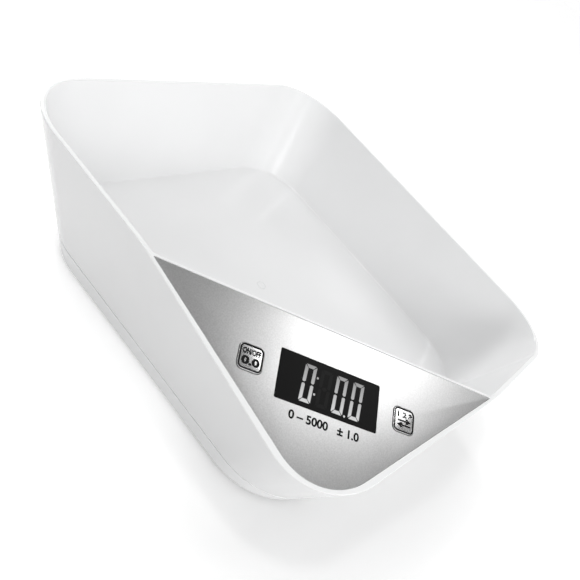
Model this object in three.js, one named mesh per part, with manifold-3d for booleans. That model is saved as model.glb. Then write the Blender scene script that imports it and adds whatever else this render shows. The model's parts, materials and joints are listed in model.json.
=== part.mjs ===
// Digital kitchen scale: a flared square bowl that is its own weighing platform, with the display
// and two keys on a sloping deck that closes the front corner.
//
// Units are millimetres and +Z is up. The feet stand on z = 0 and the centre of the square is
// x = y = 0. The four sides follow X and Y, and the display corner is at -X, -Y.
// The "diagonal" coordinate q runs from that corner, through the centre, to the opposite corner.

import * as THREE from 'three';
import { mergeVertices } from 'three/addons/utils/BufferGeometryUtils.js';
import Module from 'manifold-3d';

const wasm = await Module();
wasm.setup();

// Whole object
const footStand = 1.8; // how far the feet lift the base off the table
const baseSide = 186; // side of the base at its underside
const flareAngle = 19.28; // outward lean of all four sides, in degrees
const bowlHeight = 70.7; // from the underside of the base to the level rim
const cornerRadius = 36.2;
const wall = 2.4;

// Bowl
const bowlFloorHeight = 18.55; // weighing surface above the underside of the base
const floorThickness = 2.2;
const floorFillet = 1.5;
const riserFillet = 3; // upright corners between the riser and the side walls
const bowlRibHeight = 1.5;
const bowlRibThickness = 1.6;
const bowlRibOffset = 31;
const gateRadius = 2.8; // ring that the moulding gate leaves on the floor
const gateRingWidth = 0.5;
const gateRingDepth = 0.25;
const gateX = -3.9;
const gateY = 9.1;

// Deck in the front corner
const bendSoftness = 3.5; // length of the rounded bend on either side of the bend line
const deckSlope = 19.88; // degrees
const deckEdgeBorder = 0.7; // plastic strip between the fascia and the top of the riser
const riserSetback = 1.9; // from the line where the rim bends down to the top of the riser
const riserDraft = 12; // degrees, the bowl is wider at its mouth
const riserThickness = 2.2;
const deckThickness = 2.2;
const deckCutHeight = 20; // safely above the deck
const fasciaRecess = 0.5;
const fasciaThickness = 0.8;
const fasciaCornerRadius = 31.8;
const fasciaTipRadius = 0.4;
const fasciaTipBorder = 1.63; // plastic strip beside the fascia at its left and right tips
const fasciaFrontBorder = 3.4; // the same strip nearer the front corner
const fasciaFrontDown = 62; // from the bend line to where the front border is measured
const glueGap = 0.3;

// Base
const partingHeight = 11.2; // middle of the gap between base and bowl
const partingGap = 0.9;
const baseFloor = 2.2;
const baseEdgeRadius = 2;
const collarHeight = 3.6; // step inside the top of the wall that carries the lip
const lipHeight = 2;
const lipThickness = 1.2;
const lipClearance = 0.8;
const baseRibHeight = 5;
const baseRibThickness = 1.6;
const baseRibOffset = 38;
const overloadGap = 0.5; // the bowl lands on four posts when it is overloaded
const postRadius = 3;
const postOffset = 40;

// Feet
const footRadius = 6.5;
const footThickness = 3;
const footInset = 25; // from the side of the base to the middle of a foot
const footSocketClearance = 0.3;
const footBossWall = 2;
const footChamfer = 0.6;

// Load cell
const cellLength = 70;
const cellWidth = 12.7;
const cellHeight = 9;
const cellHoleSpacing = 10;
const cellHoleEnd = 7; // from the end of the bar to its first screw
const cellBoreRadius = 3.2; // the two round bores that thin the bar
const cellBoreSpacing = 13;
const cellSlotHeight = 2.4;
const cellPadLength = 24;
const cellPadWidth = 20;
const basePadHeight = 2.4;
const cellScrewRadius = 2;
const cellScrewHeadRadius = 3.8;
const lowerHeadHeight = 2.1;
const upperHeadHeight = 1.5;
const screwClearance = 0.3;
const lowerScrewDepth = 6.5; // in the bar
const upperScrewDepth = 3.4; // in the bowl
const counterboreDepth = 2.5;

// Batteries, size AAA
const batteryRadius = 5.25;
const batteryLength = 44.5;
const nubRadius = 1.9;
const nubLength = 0.9;
const batteryChamfer = 0.5;
const batteryGap = 0.7;
const batteryClearance = 0.3;
const contactThickness = 0.5;
const contactWidth = 8.4;
const springLength = 3.8;
const springWire = 0.35; // radius
const springTurns = 3;
const springStepsPerTurn = 8;
const springSides = 5;
const springBaseRadius = 3.6;
const springTipRadius = 2.2;
const tabWidth = 3;
const tabLength = 2;
const bayY = -46.5; // middle of the battery bay
const bayWall = 1.8;
const bayRoof = 1.4;
const doorLedge = 2;
const doorThickness = 1.8;
const doorClearance = 0.3;
const tongueLength = 1.8;
const tongueThickness = 1;
const tongueWidth = 6;
const tongueOffset = 8;
const tongueWeb = 0.5; // left between the tongue slots and the bay
const latchWidth = 9;
const latchHeight = 6.5;
const latchThickness = 1;
const latchNose = 0.8;
const latchNoseHeight = 1.2;
const latchNoseRise = 1;
const fingerNotch = 3.6;
const fingerMargin = 1;
const gripRibs = 4;
const gripRibSpacing = 2.4;
const gripRibDepth = 0.5;
const gripRibWidth = 1;
const gripMargin = 5;

// Display stack, measured across and up the sloping deck
const displayDown = 30.4; // from the bend line to the middle of the display
const displayLeft = 1.2; // from the middle of the deck to the middle of the display
const windowWidth = 50.6;
const windowHeight = 22.2;
const windowRadius = 0.6;
const windowThickness = 1.5;
const windowLedge = 1.8;
const panelClearance = 0.25;
const lcdMargin = 1; // the glass is larger than the window by this much all round
const lcdThickness = 2.4;
const stackGap = 0.3;
const backlightThickness = 2.2;
const backlightInset = 2;
const stripWidth = 2.2; // conductive rubber strip that joins the glass to the board
const holderWall = 3;
const holderRadius = 1.5;
const holderInnerRadius = 0.4;
const holderBossGap = 1.774; // between the holder and the lower board bosses
const boardDepth = 6.1; // from the underside of the deck to the board
const boardThickness = 1.6;
const boardTopHalf = 50;
const boardHeight = 31;
const boardWallGap = 1.947;
const bossRadius = 2.8;
const bossEdge = 0.4; // of the board around a boss
const boardScrewRadius = 1.1;
const boardScrewHeadRadius = 2.4;
const boardScrewHead = 1.6;
const boardScrewDepth = 4.5;
const chipSize = 13;
const chipThickness = 1.4;
const chipAcross = -26;

// Keys
const keySize = 11.4;
const keyRadius = 2.4;
const keyHolderGap = 2.65; // between the holder and a key's flange
const zeroKeyLift = 1; // the left key sits this much higher up the slope than the display
const unitKeyDrop = 0.7; // the right key sits this much lower down the slope
const keyProud = 0.5;
const keyFlange = 1.4;
const keyFlangeThickness = 1;
const keyClearance = 0.3;
const keyTravel = 0.6;
const keyFootRadius = 2;
const switchSize = 6;
const switchHeight = 3.2;
const plungerRadius = 1.6;
const plungerLength = 2.1;
const plungerStand = 0.5; // how far the plunger stands above the switch at rest

// Wires
const cellCableRadius = 1.2;
const cellCableStart = 2; // from the middle of the load cell
const cellCableAcross = -8; // across the corner
const batteryLeadRadius = 0.9;
const batteryLeadAcross = 8.5;
const wireBend = 10;
const cableHolds = [0.55, 0.85]; // where the cable lies under the bowl, as shares of the way out

// Smoothness
const cornerSteps = 11;
const smallSteps = 3;
const roundSteps = 24;
const fineSteps = 12;
const filletSteps = 4;
const edgeSteps = 3;
const wireStep = 5; // length of a wire's straight pieces, in radii
const overcut = 1; // how far a cutting body passes the faces that it cuts

// Screw heads, as shares of the head's radius and height and of the shank's radius
const recessShare = 0.45;
const recessDepthShare = 0.5;
const headTaperShare = 0.8;
const headTaperHeightShare = 0.4;
const shankTipShare = 0.5;

// Worked out from the sizes above
const flare = Math.tan(THREE.MathUtils.degToRad(flareAngle));
const slope = Math.tan(THREE.MathUtils.degToRad(deckSlope));
const deckCos = Math.cos(THREE.MathUtils.degToRad(deckSlope));
const deckSin = Math.sin(THREE.MathUtils.degToRad(deckSlope));
const draft = Math.tan(THREE.MathUtils.degToRad(riserDraft));
const baseHalf = baseSide / 2;
const baseFloorTop = footStand + baseFloor;
const rimTop = footStand + bowlHeight;
const bowlFloorTop = footStand + bowlFloorHeight;
const bowlFloorUnder = bowlFloorTop - floorThickness;
const baseWallTop = footStand + partingHeight - partingGap / 2;
const skirtBottom = footStand + partingHeight + partingGap / 2;
const above = rimTop + 40; // safely above everything
const below = -10; // safely below everything
const far = baseSide * 2;

const qAxis = new THREE.Vector3(1, 1, 0).normalize();
const uAxis = new THREE.Vector3(1, -1, 0).normalize();
const zAxis = new THREE.Vector3(0, 0, 1);

// Local x is the diagonal, local y is up and local z is across the corner.
const diagonalFrame = new THREE.Matrix4().makeBasis(qAxis, zAxis, uAxis);

// Heights in the deck's frame, all below its surface
const fasciaTop = -fasciaRecess;
const fasciaUnder = fasciaTop - fasciaThickness;
const pocketFloor = fasciaUnder - glueGap;
const deckUnder = pocketFloor - deckThickness;
const windowUnder = fasciaTop - windowThickness;
const lcdTop = deckUnder - stackGap;
const lcdUnder = lcdTop - lcdThickness;
const backlightTop = lcdUnder - stackGap;
const boardTop = deckUnder - boardDepth;
const boardUnder = boardTop - boardThickness;
const backlightUnder = backlightTop - backlightThickness;
const displayX = -displayLeft;
const displayY = -displayDown;
const keyTop = fasciaTop + keyProud;
const flangeTop = deckUnder - keyClearance;
const switchTop = boardTop + switchHeight;
const plungerTop = switchTop + plungerStand;
const keyFootUnder = plungerTop + keyClearance;

// Sizes of the display stack, measured across and up the deck
const holderWidth = windowWidth + 2 * (lcdMargin + panelClearance + holderWall);
const holderHeight = windowHeight + 2 * (lcdMargin + panelClearance + holderWall);
const keySpread = holderWidth / 2 + keyHolderGap + keyFlange + keySize / 2;
const bossInset = bossRadius + bossEdge;
const boardHigh = displayY + boardHeight / 2;
const boardLow = displayY - boardHeight / 2;
const boardLowHalf = holderWidth / 2 + holderBossGap + bossRadius + bossInset;
const boardCut = boardTopHalf - boardLowHalf; // the lower corners follow the walls

// The bend line, where the rim turns down, lies where the board's lower edge just fits between
// the side walls. Distances are from the centre.
const bendDistance = halfWidthFromCentre(boardLow, boardUnder, wall + boardWallGap) - boardLowHalf;
const riserDistance = bendDistance + riserSetback;
const riserFoot = riserDistance - (rimTop - bowlFloorTop) * draft;

// The deck's own frame: x across the corner, y up the slope and z out of the deck. Its origin is
// on the bend line, on the surface that the rim and the deck share.
const slopeAxis = qAxis.clone().addScaledVector(zAxis, slope).normalize();
const deckNormal = new THREE.Vector3().crossVectors(uAxis, slopeAxis);
const deckFrame = new THREE.Matrix4().makeBasis(uAxis, slopeAxis, deckNormal);
deckFrame.setPosition(qAxis.clone().multiplyScalar(-bendDistance).addScaledVector(zAxis, rimTop));

function finish(color, roughness, metalness = 0) {
  return new THREE.MeshStandardMaterial({ color, roughness, metalness });
}

const glossWhite = finish(0xf2f3f4, 0.22);
const whitePlastic = finish(0xe6e7e8, 0.5);
const brushedMetal = finish(0xb9babc, 0.34, 1);
const clearWindow = finish(0x15171a, 0.08);
const lcdGlass = finish(0x0c0d10, 0.15);
const chromedKey = finish(0xb4b5b7, 0.25, 0.9);
const diffuser = finish(0xeef2f5, 0.6);
const blackPlastic = finish(0x1b1b1d, 0.55);
const darkRubber = finish(0x3a3b3d, 0.9);
const boardGreen = finish(0x1e5a34, 0.5);
const epoxyBlack = finish(0x101012, 0.35);
const bareAluminium = finish(0xc3c5c8, 0.4, 0.9);
const zincSteel = finish(0xb0b3b6, 0.35, 0.9);
const springSteel = finish(0xc6c2b4, 0.3, 0.9);
const batteryShell = finish(0x4c5660, 0.35, 0.4);
const cableSheath = finish(0x8a8d90, 0.6);

// A closed body from a geometry: shared vertices are merged and empty triangles dropped.
function solid(geometry) {
  const bare = geometry.clone();
  bare.deleteAttribute('normal');
  bare.deleteAttribute('uv');
  const merged = mergeVertices(bare, 1e-5);
  const source = merged.index.array;
  const triangles = [];
  for (let i = 0; i < source.length; i += 3) {
    const [a, b, c] = [source[i], source[i + 1], source[i + 2]];
    if (a !== b && b !== c && c !== a) {
      triangles.push(a, b, c);
    }
  }
  const vertProperties = new Float32Array(merged.attributes.position.array);
  const triVerts = new Uint32Array(triangles);
  return new wasm.Manifold(new wasm.Mesh({ numProp: 3, vertProperties, triVerts }));
}

function geometryOf(body) {
  const mesh = body.getMesh();
  const geometry = new THREE.BufferGeometry();
  geometry.setAttribute('position', new THREE.BufferAttribute(mesh.vertProperties, 3));
  geometry.setIndex(new THREE.BufferAttribute(mesh.triVerts, 1));
  geometry.computeVertexNormals();
  return geometry;
}

function joined(first, ...others) {
  return others.reduce((sum, body) => sum.add(body), first);
}

function cut(body, ...cutters) {
  return cutters.reduce((rest, cutter) => rest.subtract(cutter), body);
}

// Simple bodies, each placed by its own limits
function block(x0, x1, y0, y1, z0, z1) {
  const box = new THREE.BoxGeometry(x1 - x0, y1 - y0, z1 - z0);
  return box.translate((x0 + x1) / 2, (y0 + y1) / 2, (z0 + z1) / 2);
}

function post(x, y, z0, z1, radius, steps = roundSteps) {
  const cylinder = new THREE.CylinderGeometry(radius, radius, z1 - z0, steps);
  return cylinder.rotateX(Math.PI / 2).translate(x, y, (z0 + z1) / 2);
}

function slab(shape, z0, z1, curveSegments = 6) {
  const options = { depth: z1 - z0, bevelEnabled: false, curveSegments };
  return new THREE.ExtrudeGeometry(shape, options).translate(0, 0, z0);
}

function roundedRectangle(width, height, radius, x = 0, y = 0) {
  const [w, h] = [width / 2, height / 2];
  const shape = new THREE.Shape();
  shape.absarc(x + w - radius, y + h - radius, radius, 0, Math.PI / 2);
  shape.absarc(x - w + radius, y + h - radius, radius, Math.PI / 2, Math.PI);
  shape.absarc(x - w + radius, y - h + radius, radius, Math.PI, Math.PI * 1.5);
  shape.absarc(x + w - radius, y - h + radius, radius, Math.PI * 1.5, Math.PI * 2);
  shape.closePath();
  return shape;
}

// A turned screw: flat head of the given height with its shank, pointing up from the head.
function screwProfile(headRadius, headHeight, shankRadius, shankLength) {
  const socketRadius = headRadius * recessShare;
  const socketDepth = headHeight * recessDepthShare;
  const length = headHeight + shankLength;
  const points = [
    [0, socketDepth],
    [socketRadius, socketDepth],
    [socketRadius, 0],
    [headRadius * headTaperShare, 0],
    [headRadius, headHeight * headTaperHeightShare],
    [headRadius, headHeight],
    [shankRadius, headHeight],
    [shankRadius, length - shankRadius * shankTipShare],
    [shankRadius * shankTipShare, length],
    [0, length],
  ];
  return points.map(([r, h]) => new THREE.Vector2(r, h));
}

function turned(points, steps = roundSteps) {
  return new THREE.LatheGeometry(points, steps).rotateX(Math.PI / 2);
}

// Outline of a convex polygon, going round counterclockwise. Each corner has its own radius and
// its own number of facets.
function roundedOutline(corners) {
  const outline = [];
  corners.forEach((corner, i) => {
    const before = corners[(i + corners.length - 1) % corners.length];
    const after = corners[(i + 1) % corners.length];
    const toBefore = new THREE.Vector2(before.x - corner.x, before.y - corner.y).normalize();
    const toAfter = new THREE.Vector2(after.x - corner.x, after.y - corner.y).normalize();
    const half = Math.acos(THREE.MathUtils.clamp(toBefore.dot(toAfter), -1, 1)) / 2;
    const reach = corner.r / Math.sin(half);
    const inward = toBefore.clone().add(toAfter).normalize();
    const centre = new THREE.Vector2(corner.x, corner.y).addScaledVector(inward, reach);
    const sweep = Math.PI - 2 * half;
    const middle = Math.atan2(-inward.y, -inward.x);
    for (let k = 0; k <= corner.steps; k += 1) {
      const angle = middle - sweep / 2 + (sweep * k) / corner.steps;
      outline.push(new THREE.Vector2(
        centre.x + corner.r * Math.cos(angle),
        centre.y + corner.r * Math.sin(angle),
      ));
    }
  });
  return outline;
}

// Joins rings of matching points, lowest first, and closes both ends.
function loft(rings) {
  const count = rings[0].points.length;
  const positions = [];
  rings.forEach(({ points, z }) => points.forEach((p) => positions.push(p.x, p.y, z)));
  const index = [];
  for (let ring = 0; ring + 1 < rings.length; ring += 1) {
    for (let k = 0; k < count; k += 1) {
      const next = (k + 1) % count;
      const [a, b] = [ring * count + k, ring * count + next];
      index.push(a, b, b + count, a, b + count, a + count);
    }
  }
  const last = (rings.length - 1) * count;
  THREE.ShapeUtils.triangulateShape(rings[0].points, []).forEach(([a, b, c]) => {
    index.push(a, c, b);
    index.push(last + a, last + b, last + c);
  });
  const geometry = new THREE.BufferGeometry();
  geometry.setAttribute('position', new THREE.Float32BufferAttribute(positions, 3));
  geometry.setIndex(index);
  return geometry;
}

// Half the width of the outer square at a height above the table
function outerHalf(z) {
  return baseHalf + flare * (z - footStand);
}

// The outer square at a height, drawn in by an inset on every side
function squareRing(z, inset = 0) {
  const half = outerHalf(z) - inset;
  const large = { r: cornerRadius - inset, steps: cornerSteps };
  const corners = [
    { x: half, y: -half, ...large },
    { x: half, y: half, ...large },
    { x: -half, y: half, ...large },
    { x: -half, y: -half, ...large },
  ];
  return { points: roundedOutline(corners), z };
}

function squareLoft(levels) {
  return solid(loft(levels.map(([z, inset]) => squareRing(z, inset))));
}

// How far a wall with this outward lean stands back from its own foot line, floor fillet included
function filletedLean(height, lean) {
  const angle = Math.atan(lean);
  const tangentHeight = floorFillet * (1 - Math.sin(angle));
  if (height >= tangentHeight) {
    return height * lean;
  }
  const centre = floorFillet * (lean - 1 / Math.cos(angle));
  return centre + Math.sqrt(floorFillet ** 2 - (height - floorFillet) ** 2);
}

// The hollow of the bowl at a height: a square with its front corner cut off by the riser
function bowlRing(z) {
  const height = z - bowlFloorTop;
  const half = outerHalf(bowlFloorTop) - wall + filletedLean(height, flare);
  const riser = (riserFoot + filletedLean(height, draft)) * Math.SQRT2; // x + y = -riser on it
  const large = { r: cornerRadius - wall, steps: cornerSteps };
  const small = { r: riserFillet, steps: smallSteps };
  const corners = [
    { x: half - riser, y: -half, ...small },
    { x: half, y: -half, ...large },
    { x: half, y: half, ...large },
    { x: -half, y: half, ...large },
    { x: -half, y: half - riser, ...small },
  ];
  return { points: roundedOutline(corners), z };
}

// The triangular space under the deck at a height, inside the walls and the riser
function cornerRing(z) {
  const half = outerHalf(z) - wall;
  const backFace = riserDistance - (rimTop - z) * draft + riserThickness / Math.cos(Math.atan(draft));
  const reach = half - backFace * Math.SQRT2;
  const small = { r: riserFillet, steps: smallSteps };
  const corners = [
    { x: reach, y: -half, ...small },
    { x: -half, y: reach, ...small },
    { x: -half, y: -half, r: cornerRadius - wall, steps: cornerSteps },
  ];
  return { points: roundedOutline(corners), z };
}

// Everything above the bent surface of rim and deck, or above the same surface moved along
// the deck's normal by an offset
function aboveSurface(offset = 0) {
  const level = rimTop + offset;
  const shift = offset * Math.tan(THREE.MathUtils.degToRad(deckSlope) / 2);
  const bend = -bendDistance - shift;
  const profile = new THREE.Shape();
  profile.moveTo(far, level);
  profile.lineTo(far, above);
  profile.lineTo(-far, above);
  profile.lineTo(-far, level + (bend + far) * -slope);
  profile.lineTo(bend - bendSoftness, level - bendSoftness * slope);
  profile.quadraticCurveTo(bend, level, bend + bendSoftness, level);
  profile.closePath();
  const options = { depth: 2 * far, bevelEnabled: false, curveSegments: 5 };
  const prism = new THREE.ExtrudeGeometry(profile, options).translate(0, 0, -far);
  return solid(prism.applyMatrix4(diagonalFrame));
}

// Half the width between the side walls, measured across the deck, at a place on the slope and
// a depth under its surface, if the bend line went through the centre
function halfWidthFromCentre(y, depth, inset) {
  const q = y * deckCos - depth * deckSin;
  const z = rimTop + y * deckSin + depth * deckCos;
  return (outerHalf(z) - inset) * Math.SQRT2 + q;
}

function deckHalfWidth(y, inset) {
  return halfWidthFromCentre(y, 0, inset) - bendDistance;
}

// The fascia's outline in the deck's frame, drawn in by a clearance
function fasciaShape(clearance) {
  const edge = -(riserSetback + deckEdgeBorder) / deckCos;
  const front = -fasciaFrontDown;
  const edgeWidth = deckHalfWidth(edge, fasciaTipBorder);
  const narrowing = (edgeWidth - deckHalfWidth(front, fasciaFrontBorder)) / (edge - front);
  const top = edge - clearance;
  const width = edgeWidth - clearance * (narrowing + Math.hypot(1, narrowing));
  const small = { r: fasciaTipRadius, steps: smallSteps };
  const corners = [
    { x: width, y: top, ...small },
    { x: -width, y: top, ...small },
    { x: 0, y: top - width / narrowing, r: fasciaCornerRadius - clearance, steps: cornerSteps },
  ];
  return new THREE.Shape(roundedOutline(corners));
}

const onDeck = (geometry) => solid(geometry.applyMatrix4(deckFrame));
const keyPlaces = [
  [displayX - keySpread, displayY + zeroKeyLift],
  [displayX + keySpread, displayY - unitKeyDrop],
];

const keyShape = ([x, y], grow) => {
  const size = keySize + 2 * grow;
  return roundedRectangle(size, size, keyRadius + grow, x, y);
};
const windowShape = (grow) => roundedRectangle(windowWidth + 2 * grow, windowHeight + 2 * grow,
  Math.max(windowRadius + grow, windowRadius / 2), displayX, displayY);

function boardShape() {
  const corners = [
    [-boardLowHalf, boardLow],
    [boardLowHalf, boardLow],
    [boardTopHalf, boardLow + boardCut],
    [boardTopHalf, boardHigh],
    [-boardTopHalf, boardHigh],
    [-boardTopHalf, boardLow + boardCut],
  ];
  return new THREE.Shape(corners.map(([x, y]) => new THREE.Vector2(displayX + x, y)));
}

const boardScrewPlaces = [
  [displayX + boardTopHalf - bossInset, boardHigh - bossInset],
  [displayX - boardTopHalf + bossInset, boardHigh - bossInset],
  [displayX + boardLowHalf - bossInset, boardLow + bossInset],
  [displayX - boardLowHalf + bossInset, boardLow + bossInset],
];

const cellScrewPlaces = [cellHoleEnd, cellHoleEnd + cellHoleSpacing].map((d) => cellLength / 2 - d);
const padMiddle = cellLength / 2 - cellHoleEnd - cellHoleSpacing / 2;
const cellUnder = baseFloorTop + basePadHeight;
const cellTop = cellUnder + cellHeight;

function makeBowl() {
  const outside = squareLoft([[skirtBottom, 0], [above, 0]]);
  const levels = Array.from({ length: filletSteps + 1 }, (_, k) => {
    const angle = (THREE.MathUtils.degToRad(90 - riserDraft) * k) / filletSteps;
    return bowlFloorTop + floorFillet * (1 - Math.cos(angle));
  });
  const hollow = solid(loft([...levels, above].map(bowlRing)));
  const underFloor = squareLoft([[below, wall], [bowlFloorUnder, wall]]);
  const corner = solid(loft([below, above].map(cornerRing))).subtract(aboveSurface(deckUnder));
  let body = cut(outside, aboveSurface(), hollow, underFloor, corner);

  // Pads, ribs and bosses stand in from the walls, so they are trimmed by the outer form
  const padTop = bowlFloorTop - floorThickness / 2;
  const [w, l] = [cellPadWidth / 2, cellPadLength / 2];
  const pad = solid(block(padMiddle - l, padMiddle + l, -w, w, cellTop, padTop));
  const ribReach = outerHalf(bowlFloorUnder) - wall / 2;
  const ribUnder = bowlFloorUnder - bowlRibHeight;
  const ribHalf = bowlRibThickness / 2;
  const ribs = [];
  [-bowlRibOffset, bowlRibOffset].forEach((d) => {
    const frontEnd = -riserFoot * Math.SQRT2 - Math.min(d, 0);
    const from = d < 0 ? frontEnd : -ribReach;
    ribs.push(solid(block(d - ribHalf, d + ribHalf, from, ribReach, ribUnder, padTop)));
    ribs.push(solid(block(from, ribReach, d - ribHalf, d + ribHalf, ribUnder, padTop)));
  });
  body = joined(body, pad, ...ribs);

  const bosses = boardScrewPlaces.map(([x, y]) =>
    onDeck(post(x, y, boardTop + stackGap, pocketFloor - deckThickness / 2, bossRadius, fineSteps)));
  body = joined(body, ...bosses);

  const bossHoles = boardScrewPlaces.map(([x, y]) => {
    const top = boardTop + boardScrewDepth + screwClearance;
    return onDeck(post(x, y, boardTop - overcut, top, boardScrewRadius + screwClearance, fineSteps));
  });
  const cellHoles = cellScrewPlaces.map((x) =>
    solid(post(x, 0, cellTop - overcut, cellTop + upperScrewDepth + screwClearance,
      cellScrewRadius + screwClearance, fineSteps)));
  const pocket = onDeck(slab(fasciaShape(0), pocketFloor, deckCutHeight));
  const windowSeat = onDeck(slab(windowShape(panelClearance), windowUnder - stackGap, 0));
  const windowHole = onDeck(slab(windowShape(-windowLedge), deckUnder - overcut, 0));
  const keyHoles = keyPlaces.map((at) =>
    onDeck(slab(keyShape(at, keyClearance), deckUnder - overcut, 0, 4)));
  const gate = post(gateX, gateY, bowlFloorTop - gateRingDepth, bowlFloorTop + overcut, gateRadius);
  const gateIsland = post(gateX, gateY, below, above, gateRadius - gateRingWidth);
  const gateRing = solid(gate).subtract(solid(gateIsland));
  return cut(body, ...bossHoles, ...cellHoles, pocket, windowSeat, windowHole, ...keyHoles, gateRing);
}

// Battery bay, laid out from the batteries outwards
const bayInnerLength = batteryLength + springLength + 2 * contactThickness + 4 * batteryClearance;
const bayInnerWidth = 4 * batteryRadius + batteryGap + 2 * batteryClearance;
const doorLength = bayInnerLength + 2 * doorLedge - 2 * doorClearance;
const doorWidth = bayInnerWidth + 2 * doorLedge - 2 * doorClearance;
const doorTop = footStand + doorThickness;
const batteryZ = doorTop + doorClearance + batteryRadius;
const bayCeiling = batteryZ + batteryRadius + batteryClearance;
const bayHalf = bayInnerLength / 2;
const batteryRows = [1, -1].map((side) => bayY + side * (batteryRadius + batteryGap / 2));
const contactZ0 = batteryZ - contactWidth / 2;
const contactZ1 = batteryZ + contactWidth / 2;
const recessEnd = bayHalf + doorLedge;

const footPlace = baseHalf - footInset;
const footPlaces = [[-1, -1], [1, -1], [1, 1], [-1, 1]].map(([x, y]) => [x * footPlace, y * footPlace]);
const footSocketTop = footThickness + footSocketClearance;

function makeBase() {
  const edge = Array.from({ length: edgeSteps + 1 }, (_, k) => {
    const angle = ((Math.PI / 2) * k) / edgeSteps;
    return [footStand + baseEdgeRadius * (1 - Math.cos(angle)), baseEdgeRadius * (1 - Math.sin(angle))];
  });
  const outside = squareLoft([...edge, [baseWallTop, 0]]);
  const inside = squareLoft([[baseFloorTop, wall], [above, wall]]);
  let body = cut(outside, inside);

  // Lip that stands inside the bowl's skirt and closes the view through the parting gap
  const lipInset = wall + lipClearance;
  const lipTop = skirtBottom + lipHeight;
  const collar = squareLoft([[baseWallTop - collarHeight, wall / 2], [baseWallTop, wall / 2]]);
  const lip = squareLoft([[baseWallTop - lipThickness, lipInset], [lipTop, lipInset]]);
  const bore = squareLoft([[below, lipInset + lipThickness], [above, lipInset + lipThickness]]);
  body = joined(body, collar.subtract(bore), lip.subtract(bore));

  // Floor ribs, pads and posts
  const ribReach = outerHalf(baseFloorTop) - wall / 2;
  const ribHalf = baseRibThickness / 2;
  const rooted = baseFloorTop - baseFloor / 2;
  [-baseRibOffset, baseRibOffset].forEach((d) => {
    const top = baseFloorTop + baseRibHeight;
    const across = block(d - ribHalf, d + ribHalf, -ribReach, ribReach, rooted, top);
    const along = block(-ribReach, ribReach, baseRibOffset - ribHalf, baseRibOffset + ribHalf, rooted, top);
    body = joined(body, solid(across), solid(along));
  });
  const [w, l] = [cellPadWidth / 2, cellPadLength / 2];
  const pad = solid(block(-padMiddle - l, -padMiddle + l, -w, w, rooted, cellUnder));
  const postTop = bowlFloorUnder - overloadGap;
  const posts = [[-1, -1], [1, -1], [1, 1], [-1, 1]].map(([x, y]) =>
    solid(post(x * postOffset, y * postOffset, rooted, postTop, postRadius, fineSteps)));
  const footBosses = footPlaces.map(([x, y]) => {
    const radius = footRadius + footSocketClearance + footBossWall;
    return solid(post(x, y, rooted, footSocketTop + footBossWall, radius));
  });
  const bayBox = solid(block(-bayHalf - bayWall, bayHalf + bayWall, bayY - bayInnerWidth / 2 - bayWall,
    bayY + bayInnerWidth / 2 + bayWall, rooted, bayCeiling + bayRoof));
  const frameEnd = recessEnd + bayWall;
  const frameSide = bayInnerWidth / 2 + doorLedge + bayWall;
  const ledgeTop = doorTop + doorClearance + bayWall;
  const frame = solid(block(-frameEnd, frameEnd, bayY - frameSide, bayY + frameSide, rooted, ledgeTop));
  body = joined(body, pad, ...posts, ...footBosses, bayBox, frame);

  // Holes and recesses
  const sockets = footPlaces.map(([x, y]) =>
    solid(post(x, y, below, footSocketTop, footRadius + footSocketClearance)));
  const screwHoles = cellScrewPlaces.map((x) =>
    solid(post(-x, 0, below, above, cellScrewRadius + screwClearance, fineSteps)));
  const counterbores = cellScrewPlaces.map((x) =>
    solid(post(-x, 0, below, footStand + counterboreDepth, cellScrewHeadRadius + screwClearance)));
  const bay = solid(block(-bayHalf, bayHalf, bayY - bayInnerWidth / 2, bayY + bayInnerWidth / 2,
    below, bayCeiling));
  const recessSide = bayInnerWidth / 2 + doorLedge;
  const recess = solid(block(-recessEnd, recessEnd, bayY - recessSide, bayY + recessSide,
    below, doorTop + doorClearance));
  const tongueSlots = [-tongueOffset, tongueOffset].map((d) => {
    const half = tongueWidth / 2 + doorClearance;
    return solid(block(-recessEnd - tongueLength - doorClearance, -bayHalf - tongueWeb,
      bayY + d - half, bayY + d + half, doorTop - tongueThickness - doorClearance, ledgeTop + overcut));
  });
  const latchHalf = latchWidth / 2 + doorClearance;
  const latchSlot = solid(block(bayHalf - overcut, recessEnd, bayY - latchHalf, bayY + latchHalf,
    below, doorTop + latchHeight + doorClearance));
  const notchHalf = latchHalf + fingerMargin;
  const notch = solid(block(recessEnd - overcut, recessEnd + fingerNotch, bayY - notchHalf,
    bayY + notchHalf, below, doorTop + latchHeight + doorClearance));
  const tabSlots = batteryRows.map((y) => {
    const half = tabWidth / 2 + doorClearance;
    const lift = contactThickness / 2 + doorClearance;
    return solid(block(-bayHalf - bayWall - overcut, -bayHalf + overcut, y - half, y + half,
      batteryZ - lift, batteryZ + lift));
  });
  return cut(body, ...sockets, ...screwHoles, ...counterbores, bay, recess, ...tongueSlots, latchSlot,
    notch, ...tabSlots);
}

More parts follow.
